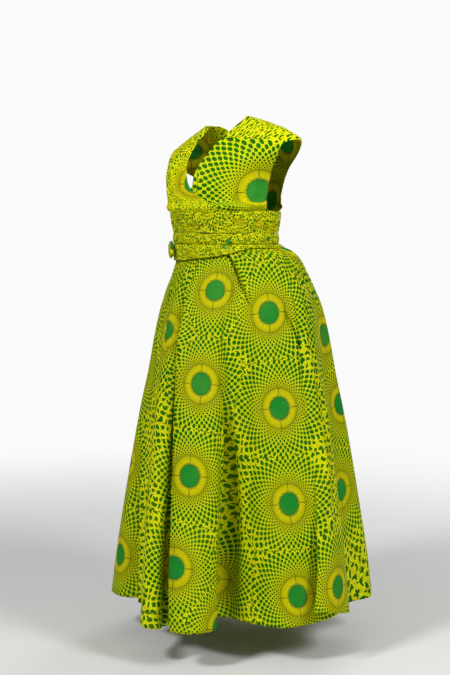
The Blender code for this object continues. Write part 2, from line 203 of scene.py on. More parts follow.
# Creases laid into the skirt. Each crease is a valley (or a crest where the depth is negative)
# that runs through these levels and columns; steep says on which side its wall is sharp, 1 towards the
# higher columns, -1 towards the lower and 0 for neither.
CREASES = """crease level column depth  width  steep
             1     0.06   166   0.000  0.012   1
             1     0.15   173   0.020  0.018   1
             1     0.20   175   0.027  0.024   1
             1     0.27   179   0.028  0.026   1
             1     0.40   182   0.028  0.030   1
             1     0.53   180   0.030  0.034   1
             1     0.66   177   0.036  0.040   1
             1     0.78   177   0.048  0.050   1
             1     0.90   178   0.058  0.058   1
             1     1.00   176   0.062  0.060   1
             2     0.08   184  -0.002  0.012  -1
             2     0.25   186  -0.006  0.014  -1
             2     0.64   183  -0.004  0.016  -1
             2     1.00   184  -0.006  0.018  -1
             3     0.012  228   0.000  0.007   1
             3     0.030  234   0.013  0.009   1
             3     0.057  242   0.018  0.011   1
             3     0.080  251   0.018  0.011   1
             3     0.107  257   0.015  0.012   1
             3     0.140  264   0.009  0.013   1
             3     0.170  267   0.000  0.014   1
             4     0.14   322   0.000  0.012   1
             4     0.19   335   0.008  0.014   1
             4     0.25   354   0.009  0.014   1
             4     0.30   374   0.000  0.014   1
             5     0.20   366   0.000  0.030   0
             5     0.34   356   0.005  0.030   0
             5     0.60   350   0.006  0.034   0
             5     0.90   340   0.000  0.040   0
             6     0.35   404   0.000  0.030   0
             6     0.49   392  -0.006  0.030   0
             6     0.63   376  -0.006  0.032   0
             6     0.79   366  -0.003  0.034   0
             6     0.90   360   0.000  0.034   0
             7     0.10   134   0.000  0.012   1
             7     0.18   142   0.012  0.016   1
             7     0.23   148   0.015  0.018   1
             7     0.31   156   0.013  0.020   1
             7     0.41   162   0.008  0.020   1
             7     0.52   165   0.000  0.020   1
             8     0.34   226   0.000  0.012  -1
             8     0.40   232   0.014  0.018  -1
             8     0.48   240   0.024  0.028  -1
             8     0.54   244   0.032  0.034  -1
             8     0.66   247   0.037  0.044  -1
             8     0.80   249   0.034  0.048  -1
             8     0.92   249   0.024  0.046  -1
             8     1.00   250   0.014  0.044  -1
             15    0.46   74    0.000  0.014   1
             15    0.55   80    0.016  0.020   1
             15    0.64   84    0.026  0.028   1
             15    0.80   89    0.032  0.036   1
             15    1.00   91    0.038  0.040   1
             16    0.04   206   0.000  0.012   0
             16    0.12   222   0.006  0.016   0
             16    0.22   232   0.008  0.020   0
             16    0.34   240   0.000  0.020   0
             9     0.04   470   0.000  0.020   1
             9     0.20   474   0.011  0.024   1
             9     0.55   470   0.008  0.034   1
             9     0.90   468   0.000  0.040   1
             10    0.06   520   0.000  0.020  -1
             10    0.30   524   0.009  0.026  -1
             10    0.75   521   0.010  0.036  -1
             10    1.00   522   0.006  0.040  -1
             11    0.03   566   0.000  0.018   0
             11    0.16   562   0.010  0.022   0
             11    0.45   566   0.004  0.030   0
             11    0.60   568   0.000  0.030   0
             12    0.10   612   0.000  0.022   1
             12    0.35   616   0.010  0.030   1
             12    0.80   613   0.011  0.040   1
             12    1.00   612   0.008  0.040   1
             13    0.05   654   0.000  0.018   0
             13    0.20   650   0.009  0.022   0
             13    0.50   652   0.000  0.030   0
             14    0.05   40    0.000  0.020   0
             14    0.22   44    0.009  0.026   0
             14    0.60   40    0.005  0.036   0
             14    0.85   38    0.000  0.036   0"""

# Rosettes of the print on the skirt, on the sides that the photograph shows: the column and level of each
# centre. Those of the hidden sides stand in columns of their own, every second one half a step lower.
SKIRT_ROSETTES = """column level
                    211   -0.115
                    211    0.121
                    207    0.364
                    202    0.600
                    193    0.836
                    194    1.075
                    296   -0.070
                    298    0.179
                    308    0.429
                    310    0.679
                    308    0.921
                    131   -0.010
                    150    0.236
                     55    0.370
                     60    0.621
                     69    0.886
                    243    0.897
                    226    1.000
                    445    0.010
                    445    0.250
                    455    0.443
                    438    0.679
                    384    0.929
                    372   -0.050
                     60    0.130"""
HIDDEN_COLUMNS = (520, 576, 632, 16)     # columns of the skirt
HIDDEN_FIRST = 0.100      # level of the first row of hidden rosettes below the seam
HIDDEN_STEP = 0.240       # their pitch, as a part of the skirt's drop
HIDDEN_ROWS = range(-1, 5)
SKIRT_ORDER = -0.4        # the skirt's dots keep more of their order than the print does by itself

# Gathers at the skirt's seam, a fine and a broad set: their share of height at the seam, the level where
# they are full, the levels where they begin to die away and end, height, number round, seed and sway.
GATHERS = """at_seam full  fades  gone  height  count seed sway
             0.35    0.02  0.02   0.13  0.0030  104   3    0.5
             0.30    0.03  0.07   0.36  0.0038  47    8    0.6"""
FLUTE_WAVES = (17, 22, 29, 31)           # soft flutes below the gathers, once round
FLUTE_HEIGHT = 0.0028
CALM_COLUMNS = ((306, 30), (208, 15))    # where the front hangs smooth, and half the width of each stretch
ROW_CROWDING = 0.38                      # how far the skirt's rows crowd towards the seam, 0 for even rows
LIFT_GROWTH = 1.5                        # power of the level with which the hem's lift comes in
SEAM_GROOVE = 0.0012

# Section of a steep crease, in parts of its width: its wall, the raised edge past it, and where the
# cloth slips sideways (place, spread and amount) to lean over the valley.
STEEP_WALL = 0.34
EDGE_SPREAD = 1.3
EDGE_HEIGHT = 0.3
EDGE_SLIPS = ((0.08, 0.22, 1.0), (0.62, 0.28, -0.9))
LIP = 0.42                # how far the raised edge leans over, for each metre of the crease's depth
CLOTH_TAKEN = 0.87        # surface width for each metre of cloth, the rest lies in fine folds

# Straps: the doubled hem along their edges, the swell and the tucks above the sash.
STRAP_HEM = 0.0100
HEM_RISE = 0.0006
STITCH_DEPTH = 0.0005
STITCH_SPREAD = 0.0012
SWELL = 0.0062            # how far the straps swell out where they go in behind the sash
SWELL_Z = -0.2375
SWELL_SPREAD = 0.0090
TUCKS_ROUND = 46          # tucks that the sash draws the straps into, once round
TUCK_DEPTH = 0.0030
TUCK_LEAN = 0.9
TUCKS_GROW = (0.180, 0.232)              # how far below the origin the tucks begin and are full
TUCKS_END = (0.243, 0.252)               # and where they go flat again
DRAWN_FULL_Z = -0.236                    # height where the print is drawn together most
FOLD_ENDS = 0.08                         # part of a strap's length over which a soft fold rises and falls
SHOULDER_FROM = (0.33, 0.41)             # parts of a strap's length where its print changes for the shoulder
SHOULDER_TO = (0.60, 0.70)               # and where it changes back
PRINT_DOWN = (0.0, 0.12, -1.0)           # down, as the print on the straps has it

# Soft folds of each strap: place across it, spread, height, where they start and end along it, and drift.
LEFT_FOLDS = """across spread height  start  end   drift
                0.30   0.05   0.0030  0.02   0.34  0.30
                0.55   0.06   0.0035  0.00   0.26  0.20
                0.78   0.05   0.0030  0.00   0.22  0.10
                0.45   0.07  -0.0020  0.30   0.62 -0.10
                0.35   0.06   0.0030  0.72   1.00  0.10
                0.65   0.06   0.0035  0.76   1.00 -0.05"""
RIGHT_FOLDS = """across spread height  start  end   drift
                 0.24   0.05   0.0035  0.04   0.40  0.22
                 0.48   0.05   0.0040  0.02   0.36  0.22
                 0.72   0.05   0.0035  0.00   0.30  0.12
                 0.55   0.07   0.0025  0.34   0.66 -0.10
                 0.40   0.06   0.0030  0.72   1.00  0.05
                 0.70   0.06   0.0030  0.74   1.00 -0.05"""

# Rosettes of each strap: parts of the way along and across it, then metres to the side and down.
LEFT_ROSETTES = """along  across aside   below
                   0.148  0.86   0.002  -0.004
                   0.148  0.86  -0.33   -0.03
                   0.148  0.86  -0.15    0.24
                   0.62   0.50   0.0     0.0
                   0.90   0.62   0.0     0.0"""
RIGHT_ROSETTES = """along  across aside   below
                    0.166  0.0    0.012  -0.010
                    0.166  0.0   -0.26   -0.04
                    0.166  0.0   -0.13    0.20
                    0.166  0.0    0.29    0.04
                    0.52   0.3    0.0     0.04
                    0.88   0.35   0.0     0.0"""

# Rosettes of each stretch of the sash: angle, metres down from its upper edge, how much of the middle is
# lost in a fold, and the radius past which another fold hides the next rings.
UPPER_ROSETTES = """angle  down    lost    kept
                    50.5   0.033   0.038   0.051
                    70.5   0.036   0.037   0.051
                    92     0.040   0.039   0.051
                   -22     0.006   0.040   0.051
                    2      0.045   0.041   0.051
                    165    0.020   0.036   0.051
                    205    0.045   0.018   0.030
                    250    0.020   0.038   0.051
                    290    0.050   0.038   0.051"""
MIDDLE_ROSETTES = """angle  down    lost    kept
                     38.5   0.024   0.0165  0.030
                     60.5   0.020   0.0245  0.030
                     83.5   0.016   0.0215  0.030
                     175    0.030   0.018   0.030
                     262    0.010   0.022   0.030"""
LOWER_ROSETTES = """angle  down    lost    kept
                    35     0.011   0.0175  0.030
                    165    0.020   0.018   0.030
                   -12     0.030   0.039   0.051
                    230    0.010   0.037   0.051"""
WAIST_ROSETTES = """angle  down    lost    kept
                    30     0.050   0.0     1.0
                    120    0.020   0.0     1.0
                    200    0.030   0.0     1.0
                    290    0.060   0.0     1.0"""
OTHERS_ROUND = 14         # rosettes of each stretch whose middle lies in the cloth that is turned in
TURNED_IN = 0.060         # how far past the stretch's edges those middles are
RINGS_LOST = 0.094        # the radius at which the print goes on past that second fold
RINGS_FADE = 0.005        # width over which that fold takes the rings
PRINT_TAKEN = (0.70, 0.82)               # the sash's gathers draw the print together, across and down
WOUND_DISORDER = 0.65     # the sash's dots are out of order by this much
EDGE_WANDER = 0.0018      # how far the upper edges of the sash's stretches wander up and down
KNEADED = 0.35            # height of the sash's small folds, as a part of its gathers'

# Level creases of the sash's upper stretch: height, first and last angle, depth.
UPPER_CREASES = """z      start end   depth
                  -0.292  -42    26   0.0030
                  -0.279   30    98   0.0018
                  -0.270  -70    12   0.0018
                  -0.296   60   140   0.0022
                  -0.284  130   176   0.0026
                  -0.276 -170   -90   0.0024"""
CREASE_SPREAD = 0.0013
CREASE_WANDER = 0.0012
CREASE_ENDS = 8           # degrees over which a level crease rises and falls

KNOT_WIDE = 0.022
KNOT_PRINT = (0.030, 0.035)              # cloth of the knot for each radian round it and down it
KNOT_ROSETTES = ((0.006, 0.026), (0.10, 0.16))    # each one's place across and down that cloth

# Sizes of one rosette, in metres from its centre, and the number of dots in each of its rings.
DISC = 0.0284
SPIKE = 0.0190            # longest spike of the disc's edge, before noise shortens it
SPIKES_ROUND = 60
CROSS_FROM = 0.0305       # where the four lines of the cross start and end
CROSS_TO = 0.0605
HATCHED = (0.034, 0.050)  # where the yellow ring's fine hatching comes in and is full
HATCHES_ROUND = 88
YELLOW_RING = 0.0510
RING_LINES = 0.0535       # middle of the two thin lines round the yellow ring
LINES_APART = 0.0014      # from there to each line
FIRST_DOTS = 0.0565
LAST_DOTS = 0.110         # where the dots have their full size
DOTS_ROUND = 44
RING_STEP = 0.086         # growth of each ring of dots on the one before, as a natural logarithm
DOT_STRETCH = 0.96
DOT_SIZES = (0.22, 0.295)                # first and last dots' radius, in steps of their lattice
LOOSE_FROM = 0.116        # where the dots begin to lose their order, far from any centre
LOOSE_TO = 0.146
TICKS_A_RADIAN = 16.0     # ticks of the track between two rosettes
THREAD = 0.00062          # from one thread of the weave to the next

# Inks of the print, 0 to 255 on screen, and the painted shade and painted highlight of the sash's smallest
# folds.
INKS = {
    "ground_near": (156, 146, 0), "ground": (184, 176, 0), "ground_loose": (202, 200, 0),
    "net_near": (192, 206, 10), "net": (202, 216, 12), "net_loose": (218, 230, 14),
    "bare": (232, 222, 0), "amber": (224, 158, 0), "dot_near": (44, 62, 0), "dot": (22, 98, 0),
    "track": (30, 62, 6), "ring_inner": (206, 198, 0), "ring_outer": (188, 182, 0),
    "hatching": (110, 112, 4), "ring_line": (70, 80, 4), "cross": (36, 70, 6),
    "disc_dark": (18, 122, 36), "disc_light": (28, 140, 46), "disc_edge": (18, 92, 30),
    # the last two are the painted shade and the painted highlight of the sash's smallest folds
    "faded": (210, 214, 20), "painted_fold_shade": (70, 96, 0), "painted_fold_highlight": (244, 240, 24)}
STRAP_PAINTED_LIGHT = 1.24        # painted light: the straps' cloth is painted lighter than the skirt's by this much, for the brighter light on the bodice
SASH_PAINTED_FOLDS = 0.6          # how strongly painted shade and painted highlights of the sash's smallest folds, which its shape lacks, darken and lighten its print

# The camera at the photograph's place.
PHOTO_AZIMUTH = math.radians(42.0)
PHOTO_PITCH = math.radians(4.38)
PHOTO_DISTANCE = 4.0
EYE_Z = -0.297
PHOTO_HEIGHT = 675        # pixels
FOCAL_PIXELS = 1428
SENSOR = 36.0             # millimetres

# Lamps: name, place, size and watts. They point at one place on the dress.
LAMPS = (("key", (0.1, -3.5, 1.9), 0.9, 104.0), ("fill", (3.5, -0.3, 1.3), 1.2, 78.0),
         ("back_key", (-1.0, 3.6, 0.8), 2.0, 45.0))
LAMP_AIM = (0.0, 0.0, -0.7)

ROOM_SEEN = 0.96          # brightness of the white room as the camera sees it
ROOM_LIGHT = 0.20         # and as it lights the dress
FLOOR_REACH = 4.0
FLOOR_FADES = (1.0, 3.6)  # how far from the middle the floor begins to fade and is gone

# A grid's cells have their corners in this order: down the first side, then up the other.
UPTO, ONWARD = slice(0, -1), slice(1, None)
CORNERS = ((UPTO, UPTO), (ONWARD, UPTO), (ONWARD, ONWARD), (UPTO, ONWARD))


def table(text):
    """Reads a table of numbers with a heading row into a dictionary of columns."""
    lines = text.strip().splitlines()
    rows = np.array([[float(word) for word in line.split()] for line in lines[1:]])
    return dict(zip(lines[0].split(), rows.T))


def rows_of(text):
    """The rows of such a table, without its heading."""
    return list(zip(*table(text).values()))


def follow(xs, ys, at):
    """Smooth curve through the points (xs, ys), read at other x: cubic Hermite pieces whose slopes
    are flattened where the points turn, so it never overshoots."""
    xs, ys = np.asarray(xs, float), np.asarray(ys, float)
    if xs[0] > xs[-1]:
        xs, ys = xs[::-1], ys[::-1]
    steps = np.diff(xs)
    slopes = np.diff(ys) / steps
    knots = np.concatenate(([slopes[0]], (slopes[:-1] + slopes[1:]) / 2, [slopes[-1]]))
    turns = np.concatenate(([False], slopes[:-1] * slopes[1:] <= 0, [False]))
    knots = np.where(turns, 0.0, knots)
    limit = 3 * np.minimum(np.abs(np.append(slopes, slopes[-1])), np.abs(np.insert(slopes, 0, slopes[0])))
    knots = np.clip(knots, -limit, limit)
    at = np.clip(at, xs[0], xs[-1])
    i = np.clip(np.searchsorted(xs, at, side="right") - 1, 0, len(steps) - 1)
    return hermite(ys, knots, i, steps[i], (at - xs[i]) / steps[i])


def hermite(values, slopes, i, length, u):
    """A cubic Hermite piece from knot i to the next one, read at part u of its length."""
    return (values[i] * (1 + 2 * u) * (1 - u) ** 2 + slopes[i] * length * u * (1 - u) ** 2
            + values[i + 1] * u * u * (3 - 2 * u) + slopes[i + 1] * length * u * u * (u - 1))


def ease(value, start, end):
    """Smooth step from 0 at start to 1 at end."""
    u = np.clip((value - start) / (end - start), 0.0, 1.0)
    return u * u * (3 - 2 * u)


form, skirt, hem, lower_edge = table(FORM), table(SKIRT), table(HEM), table(LOWER_EDGE)


def ring(rows, angle, z):
    """Points on the ring of a table of half widths and depths, at angles in radians from the front and
    heights z: the sine of the angle times a half width, and its cosine times a depth. The half width
    blends from right to left, and the depth from back to front, on the way round."""
    leftward, ahead = (1 + np.sin(angle)) / 2, (1 + np.cos(angle)) / 2
    half, depth = (follow(rows["z"], rows[one], z) * share + follow(rows["z"], rows[other], z) * (1 - share)
                   for one, other, share in (("left", "right", leftward), ("front", "back", ahead)))
    return np.stack([half * np.sin(angle), -depth * np.cos(angle), z], axis=-1)


def figure(angle, z, out):
    """Points of the worn form, moved out along its normal, with the shoulders tilted."""
    angle, z = np.broadcast_arrays(np.asarray(angle, float), np.asarray(z, float))
    step = 1e-4
    along = ring(form, angle + step, z) - ring(form, angle - step, z)
    up = ring(form, angle, z + step) - ring(form, angle, z - step)
    normal = np.cross(along, up)
    normal /= np.linalg.norm(normal, axis=-1, keepdims=True)
    points = ring(form, angle, z) + normal * np.asarray(out, float)[..., None]
    points[..., 2] += points[..., 0] * SHOULDER_TILT * ease(z, TILT_NONE_Z, TILT_FULL_Z)
    return points


def shifted(points, z):
    """Points of the skirt's rings, moved by its table's shift at their heights."""
    shift = follow(skirt["z"], skirt["shift"], z)
    points[..., 0] += shift * np.sin(np.radians(SHIFT_ANGLE))
    points[..., 1] -= shift * np.cos(np.radians(SHIFT_ANGLE))
    return points


def grid_normals(points, closed):
    """Unit normals of a grid of points, rows down and columns round, pointing outwards."""
    if closed:
        across = np.roll(points, -1, axis=1) - np.roll(points, 1, axis=1)
    else:
        across = np.gradient(points, axis=1)
    normal = np.cross(np.gradient(points, axis=0), across)
    return normal / np.linalg.norm(normal, axis=-1, keepdims=True)


def grid_quads(rows, columns, closed):
    """Point numbers of a grid's quads, one for each cell, rows down and columns round."""
    index = np.arange(rows * columns).reshape(rows, columns)
    if closed:
        index = np.concatenate([index, index[:, :1]], axis=1)
    return np.stack([index[corner] for corner in CORNERS], axis=-1).reshape(-1, 4)


def row_lengths(points, closed):
    """Length of cloth along each row up to every column, with the closing column where it is closed."""
    across = np.diff(points, axis=1, append=points[:, :1]) if closed else np.diff(points, axis=1)
    lengths = np.cumsum(np.linalg.norm(across, axis=-1), axis=1)
    return np.concatenate([np.zeros((len(points), 1)), lengths], axis=1)


def column_lengths(points):
    """Length of cloth down each column to every row."""
    down = np.linalg.norm(np.diff(points, axis=0), axis=-1)
    return np.concatenate([np.zeros((1, points.shape[1])), np.cumsum(down, axis=0)])


def uneven(at, seed, waves):
    """Smooth repeating curve of about unit size over 0 to 1: a sum of sines of whole frequencies."""
    draw = np.random.default_rng(seed)
    total = 0.0 * at
    for wave in waves:
        total = total + draw.uniform(0.5, 1.0) * np.sin(2 * np.pi * (wave * at + draw.uniform()))
    return total / math.sqrt(len(waves))


def pleats(at, count, seed, sway):
    """Uneven pleats from 0 to 1: a raised cosine whose phase wanders, a little narrower in its valleys,
    times a slowly changing height."""
    phase = count * at + sway * uneven(at, seed, (3, 7, 13, 19, 29))
    height = 0.5 + 0.5 * np.cos(2 * np.pi * phase)
    return height ** 0.8 * (0.75 + 0.25 * uneven(at, seed + 50, (5, 11, 23)))


def hem_curve():
    """The hem once round as fine points: x and y with the lean and without it, waist angle and lift, on
    a closed chain of cubic pieces through the table's points, spaced by the distance between them."""
    angle, leaning, radius = np.radians(hem["angle"]), np.radians(hem["angle"] + hem["lean"]), hem["radius"]
    knots = np.stack([radius * np.sin(leaning), -radius * np.cos(leaning), radius * np.sin(angle),
                      -radius * np.cos(angle), hem["waist"], hem["lift"]], axis=-1)
    turn = np.array([0.0, 0.0, 0.0, 0.0, 360.0, 0.0])
    knots = np.concatenate([knots[-2:] - turn, knots, knots[:3] + turn])
    spacing = np.linalg.norm(np.diff(knots[:, :2], axis=0), axis=1)
    place = np.concatenate([[0.0], np.cumsum(spacing)])
    slope = np.zeros_like(knots)
    before, after = spacing[:-1, None], spacing[1:, None]
    gap = np.diff(knots, axis=0)
    slope[1:-1] = (gap[:-1] / before * after + gap[1:] / after * before) / (before + after)
    fine = np.linspace(place[2], place[-3], 4001)
    i = np.clip(np.searchsorted(place, fine, side="right") - 1, 2, len(place) - 4)
    return hermite(knots, slope, i, spacing[i][:, None], ((fine - place[i]) / spacing[i])[:, None])


def skirt_surface(level):
    """The skirt's main form as a closed grid, a row for each level: every column of cloth runs from the
    seam to its hem point, and takes on the hem's folds as it goes down."""
    fine = hem_curve()
    step = np.linalg.norm(np.diff(fine[:, :2], axis=0), axis=1)
    heading = np.unwrap(np.arctan2(np.diff(fine[:, 1]), np.diff(fine[:, 0])))
    weight = np.concatenate([[0.0], np.cumsum(step + np.abs(np.gradient(heading)) * TURN_WEIGHT)])
    at = np.linspace(0.0, weight[-1], SKIRT_COLUMNS + 1)[:-1]
    end_x, end_y, x, y, waist, lift = (np.interp(at, weight, fine[:, k]) for k in range(6))
    angle = np.radians(waist)
    level = level[:, None]
    z = SKIRT_TOP_Z + level * (HEM_Z - SKIRT_TOP_Z) + np.zeros_like(angle)
    points = ring(skirt, angle[None, :] + 0 * z, z)
    end = follow(skirt["z"], skirt["left"], HEM_Z)
    folds = follow(skirt["z"], skirt["folds"], z)
    late = level ** LEAN_GROWTH
    points[..., 0] += folds * (x - end * np.sin(angle)) + late * (end_x - x)
    points[..., 1] += folds * (y + end * np.cos(angle)) + late * (end_y - y)
    points[..., 2] += lift * level ** LIFT_GROWTH
    return shifted(points, z)


def crease_depths(level, spacing):
    """How far the listed creases move the skirt inwards, and sideways towards higher columns. Inwards
    it is a bell across each crease, with depth and width read along it, and a steep side is cut short by
    a raised edge. Sideways the raised edge leans over the valley, whose bottom slips in under it."""
    rows = table(CREASES)
    columns = np.arange(SKIRT_COLUMNS)[None, :]
    total = np.zeros((len(level), SKIRT_COLUMNS))
    sideways = total.copy()
    for crease in np.unique(rows["crease"]):
        own = {label: values[rows["crease"] == crease] for label, values in rows.items()}
        inside = ((level >= own["level"][0]) & (level <= own["level"][-1]))[:, None]
        centre, depth, width = (follow(own["level"], own[label], level)[:, None]
                                for label in ("column", "depth", "width"))
        off = (columns - centre + SKIRT_COLUMNS / 2) % SKIRT_COLUMNS - SKIRT_COLUMNS / 2
        across = off * spacing / width
        steep = own["steep"][0]
        if steep:
            across = across * steep
            near = np.where(across > 0, across / STEEP_WALL, across)
            edge = np.where(across > 0, (1 - np.exp(-near ** 2)) * np.exp(-(across / EDGE_SPREAD) ** 2), 0.0)
            bell = np.exp(-near ** 2) - EDGE_HEIGHT * edge
            slip = sum(amount * np.exp(-((across - place) / spread) ** 2)
                       for place, spread, amount in EDGE_SLIPS)
            sideways += np.where(inside, np.maximum(depth, 0) * LIP, 0.0) * slip * steep
        else:
            bell = np.exp(-across ** 2)
        total += np.where(inside, depth, 0.0) * bell
    return total, sideways


def skirt_cloth():
    """The skirt's cloth: its main form, moved in and out by creases, two sets of gathers that start at
    the seam and die away one after the other, and soft flutes further down."""
    part = np.linspace(0.0, 1.0, SKIRT_ROWS)
    level = (1 - ROW_CROWDING) * part + ROW_CROWDING * part ** 2
    base = skirt_surface(level)
    normal = grid_normals(base, True)
    spacing = row_lengths(base, True)[:, -1:] / SKIRT_COLUMNS
    drop = level[:, None]
    column = np.arange(SKIRT_COLUMNS)[None, :]
    around = column / SKIRT_COLUMNS + 0.004 * np.sin(5 * drop)
    calm = sum(np.exp(-((column - middle) / half) ** 4) for middle, half in CALM_COLUMNS)
    fine, broad = ((at_seam + (1 - at_seam) * ease(drop, 0.0, full)) * (1 - ease(drop, fades, gone))
                   * height * pleats(around, count, int(seed), sway)
                   for at_seam, full, fades, gone, height, count, seed, sway in rows_of(GATHERS))
    flutes = ease(drop, 0.05, 0.2) * (1 - 0.6 * ease(drop, 0.4, 1.0))
    flutes = flutes * FLUTE_HEIGHT * uneven(around, 21, FLUTE_WAVES)
    out = fine + (broad + flutes) * (1 - 0.85 * calm)
    inward, sideways = crease_depths(level, spacing)
    along = np.roll(base, -1, axis=1) - np.roll(base, 1, axis=1)
    along /= np.linalg.norm(along, axis=-1, keepdims=True)
    moved = base + normal * (out - inward)[..., None] + along * sideways[..., None]
    for seam in SEAM_COLUMNS:
        groove = np.exp(-((np.arange(SKIRT_COLUMNS) - seam) / 1.2) ** 2) * SEAM_GROOVE
        moved -= normal * groove[None, :, None]
    return moved, base, level


def nearest_rosettes(x, y, place_x, place_y, around=None, lost=None):
    """Cloth coordinates from the nearest and the next nearest rosette, for the four corners of each face.
    x and y are the cloth's coordinates on the grid; place_x has a row for each row of the grid. around is
    the cloth's whole length round each row, where it closes. lost has two lists: how much of each
    rosette's middle is left out, and the radius past which the next rings are left out too."""
    def offsets(rows, cols, pick=None):
        """Distance across and down from rosettes to grid points, the short way round."""
        if pick is None:
            across = x[rows, cols][..., None] - place_x[rows][:, None, :]
            down = y[rows, cols][..., None] - place_y
        else:
            across = x[rows, cols] - np.take_along_axis(place_x[rows], pick, axis=1)
            down = y[rows, cols] - place_y[pick]
        if around is not None:
            size = around[rows][:, None, None] if pick is None else around[rows][:, None]
            across = across - size * np.round(across / size)
        if lost is not None:
            gone, kept = lost if pick is None else (lost[0][pick], lost[1][pick])
            reach = np.maximum(np.hypot(across, down), 1e-6)
            past = ease(reach + gone, kept, kept + RINGS_FADE) * np.maximum(RINGS_LOST - gone, 0)
            across, down = (v * (1 + (gone + past) / reach) for v in (across, down))
        return across, down

    across, down = offsets(UPTO, UPTO)
    far_across, far_down = offsets(ONWARD, ONWARD)
    distance = np.hypot((across + far_across) / 2, (down + far_down) / 2)
    order = np.argpartition(distance, 1, axis=-1)[..., :2]
    close = np.take_along_axis(distance, order, axis=-1)
    order = np.where((close[..., :1] > close[..., 1:]), order[..., ::-1], order)
    return [np.stack([np.stack(offsets(*corner, order[..., rank]), axis=-1) for corner in CORNERS], axis=2)
            for rank in range(2)]


def rosettes_on(points, centres):
    """Cloth coordinates round rosettes that are placed on a curved piece: row and column of its grid as
    parts of 1, then how far across and down from there in metres. They are the distance from that point
    in the direction seen along the cloth's normal, with down as near to straight down as the cloth allows."""
    normal = grid_normals(points, False)
    centres = np.array(centres)
    size = np.array(points.shape[:2])
    row, column = np.clip(np.round(centres[:, :2] * (size - 1)).astype(int), 0, size - 1).T
    shift = centres[:, 2:]
    middle, facing = points[row, column], normal[row, column]
    down = np.array(PRINT_DOWN) - facing * (facing @ np.array(PRINT_DOWN))[:, None]
    down /= np.linalg.norm(down, axis=-1, keepdims=True)
    across = np.cross(facing, down)

    def offsets(rows, cols, pick):
        """Coordinates of grid points round the picked rosettes."""
        way = points[rows, cols] - middle[pick]
        flat = np.stack([(way * across[pick]).sum(-1), (way * down[pick]).sum(-1)], axis=-1)
        reach = np.linalg.norm(flat, axis=-1, keepdims=True)
        return flat * np.linalg.norm(way, axis=-1, keepdims=True) / np.maximum(reach, 1e-6) - shift[pick]

    every = np.stack([offsets(UPTO, UPTO, np.full(size - 1, k)) for k in range(len(centres))], axis=2)
    far = np.linalg.norm(every, axis=-1)
    turned_away = (normal[UPTO, UPTO, None, :] * facing).sum(-1) < -0.2
    far += np.where(turned_away, 1.0, 0.0)
    order = np.argsort(far, axis=-1)[..., :2]
    return [np.stack([offsets(*corner, order[..., rank]) for corner in CORNERS], axis=2) for rank in range(2)]


def cloth_piece(name, points, maps, material, closed=False, loosened=0.0):
    """A cloth piece from a grid of points, rows down and columns round: one quad for each cell, its two
    print maps, smooth faces, and an even wall. loosened says where the print's dots are out of order
    (1) or kept in order (-1), beyond what the print does by itself."""
    quads = grid_quads(*points.shape[:2], closed)
    mesh = bpy.data.meshes.new(name)
    mesh.from_pydata(points.reshape(-1, 3).tolist(), [], quads.tolist())
    mesh.polygons.foreach_set("use_smooth", np.ones(len(quads), bool))
    for label, values in zip(("rosette", "rosette_next"), maps):
        mesh.uv_layers.new(name=label).data.foreach_set("uv", values.reshape(-1).astype(np.float32))
    order = mesh.attributes.new("loosened", "FLOAT", "POINT")
    order.data.foreach_set("value", (loosened + np.zeros(points.shape[:2])).reshape(-1).astype(np.float32))
    mesh.materials.append(material)
    mesh.update()
    piece = bpy.data.objects.new(name, mesh)
    bpy.context.scene.collection.objects.link(piece)
    wall = piece.modifiers.new("wall", "SOLIDIFY")
    wall.thickness = CLOTH
    wall.offset = 0.0
    return piece


def ink(label):
    """One of the print's inks, in the linear values that shaders take."""
    values = np.array(INKS[label]) / 255.0
    linear = np.where(values <= 0.04045, values / 12.92, ((values + 0.055) / 1.055) ** 2.4)
    return (*linear.tolist(), 1.0)


class Nodes:
    """Short calls that add nodes to one tree and give back their outputs."""

    def __init__(self, tree):
        self.tree = tree

    def add(self, kind, inputs=(), **settings):
        """Adds a node, sets its settings, and links or sets its inputs by name or number."""
        made = self.tree.nodes.new(kind)
        for key, value in settings.items():
            setattr(made, key, value)
        for key, value in dict(inputs).items():
            self.put(value, made.inputs[key])
        return made

    def put(self, value, socket):
        """Links an output to a socket, or sets the socket to a plain value."""
        if isinstance(value, bpy.types.NodeSocket):
            self.tree.links.new(value, socket)
        else:
            socket.default_value = value

    def maths(self, operation, *values, clamp=False):
        """A number worked out from up to three others."""
        return self.add("ShaderNodeMath", enumerate(values), operation=operation, use_clamp=clamp).outputs[0]

    def apart(self, first, second):
        """How far apart two numbers are."""
        return self.maths("ABSOLUTE", self.maths("SUBTRACT", first, second))

    def repeat(self, value, count):
        """How far a value is from the middle of its step, where count steps make 1."""
        return self.apart(self.maths("FRACT", self.maths("MULTIPLY", value, count)), 0.5)

    def smooth(self, value, start, end, low=0.0, high=1.0):
        """Smooth step of a value from start to end, put out between low and high."""
        return self.add("ShaderNodeMapRange", {"Value": value, "From Min": start, "From Max": end,
                                               "To Min": low, "To Max": high},
                        interpolation_type="SMOOTHSTEP").outputs[0]

    def mix(self, factor, first, second, blend="MIX"):
        """A colour between two colours, or the first one changed by the second."""
        made = self.add("ShaderNodeMix", {0: factor}, data_type="RGBA", blend_type=blend)
        self.put(first, made.inputs[6])
        self.put(second, made.inputs[7])
        return made.outputs[2]

    def noise(self, vector, scale, detail=2.0):
        """Cloudy noise, 0 to 1."""
        return self.add("ShaderNodeTexNoise", {"Vector": vector, "Scale": scale, "Detail": detail}).outputs[0]


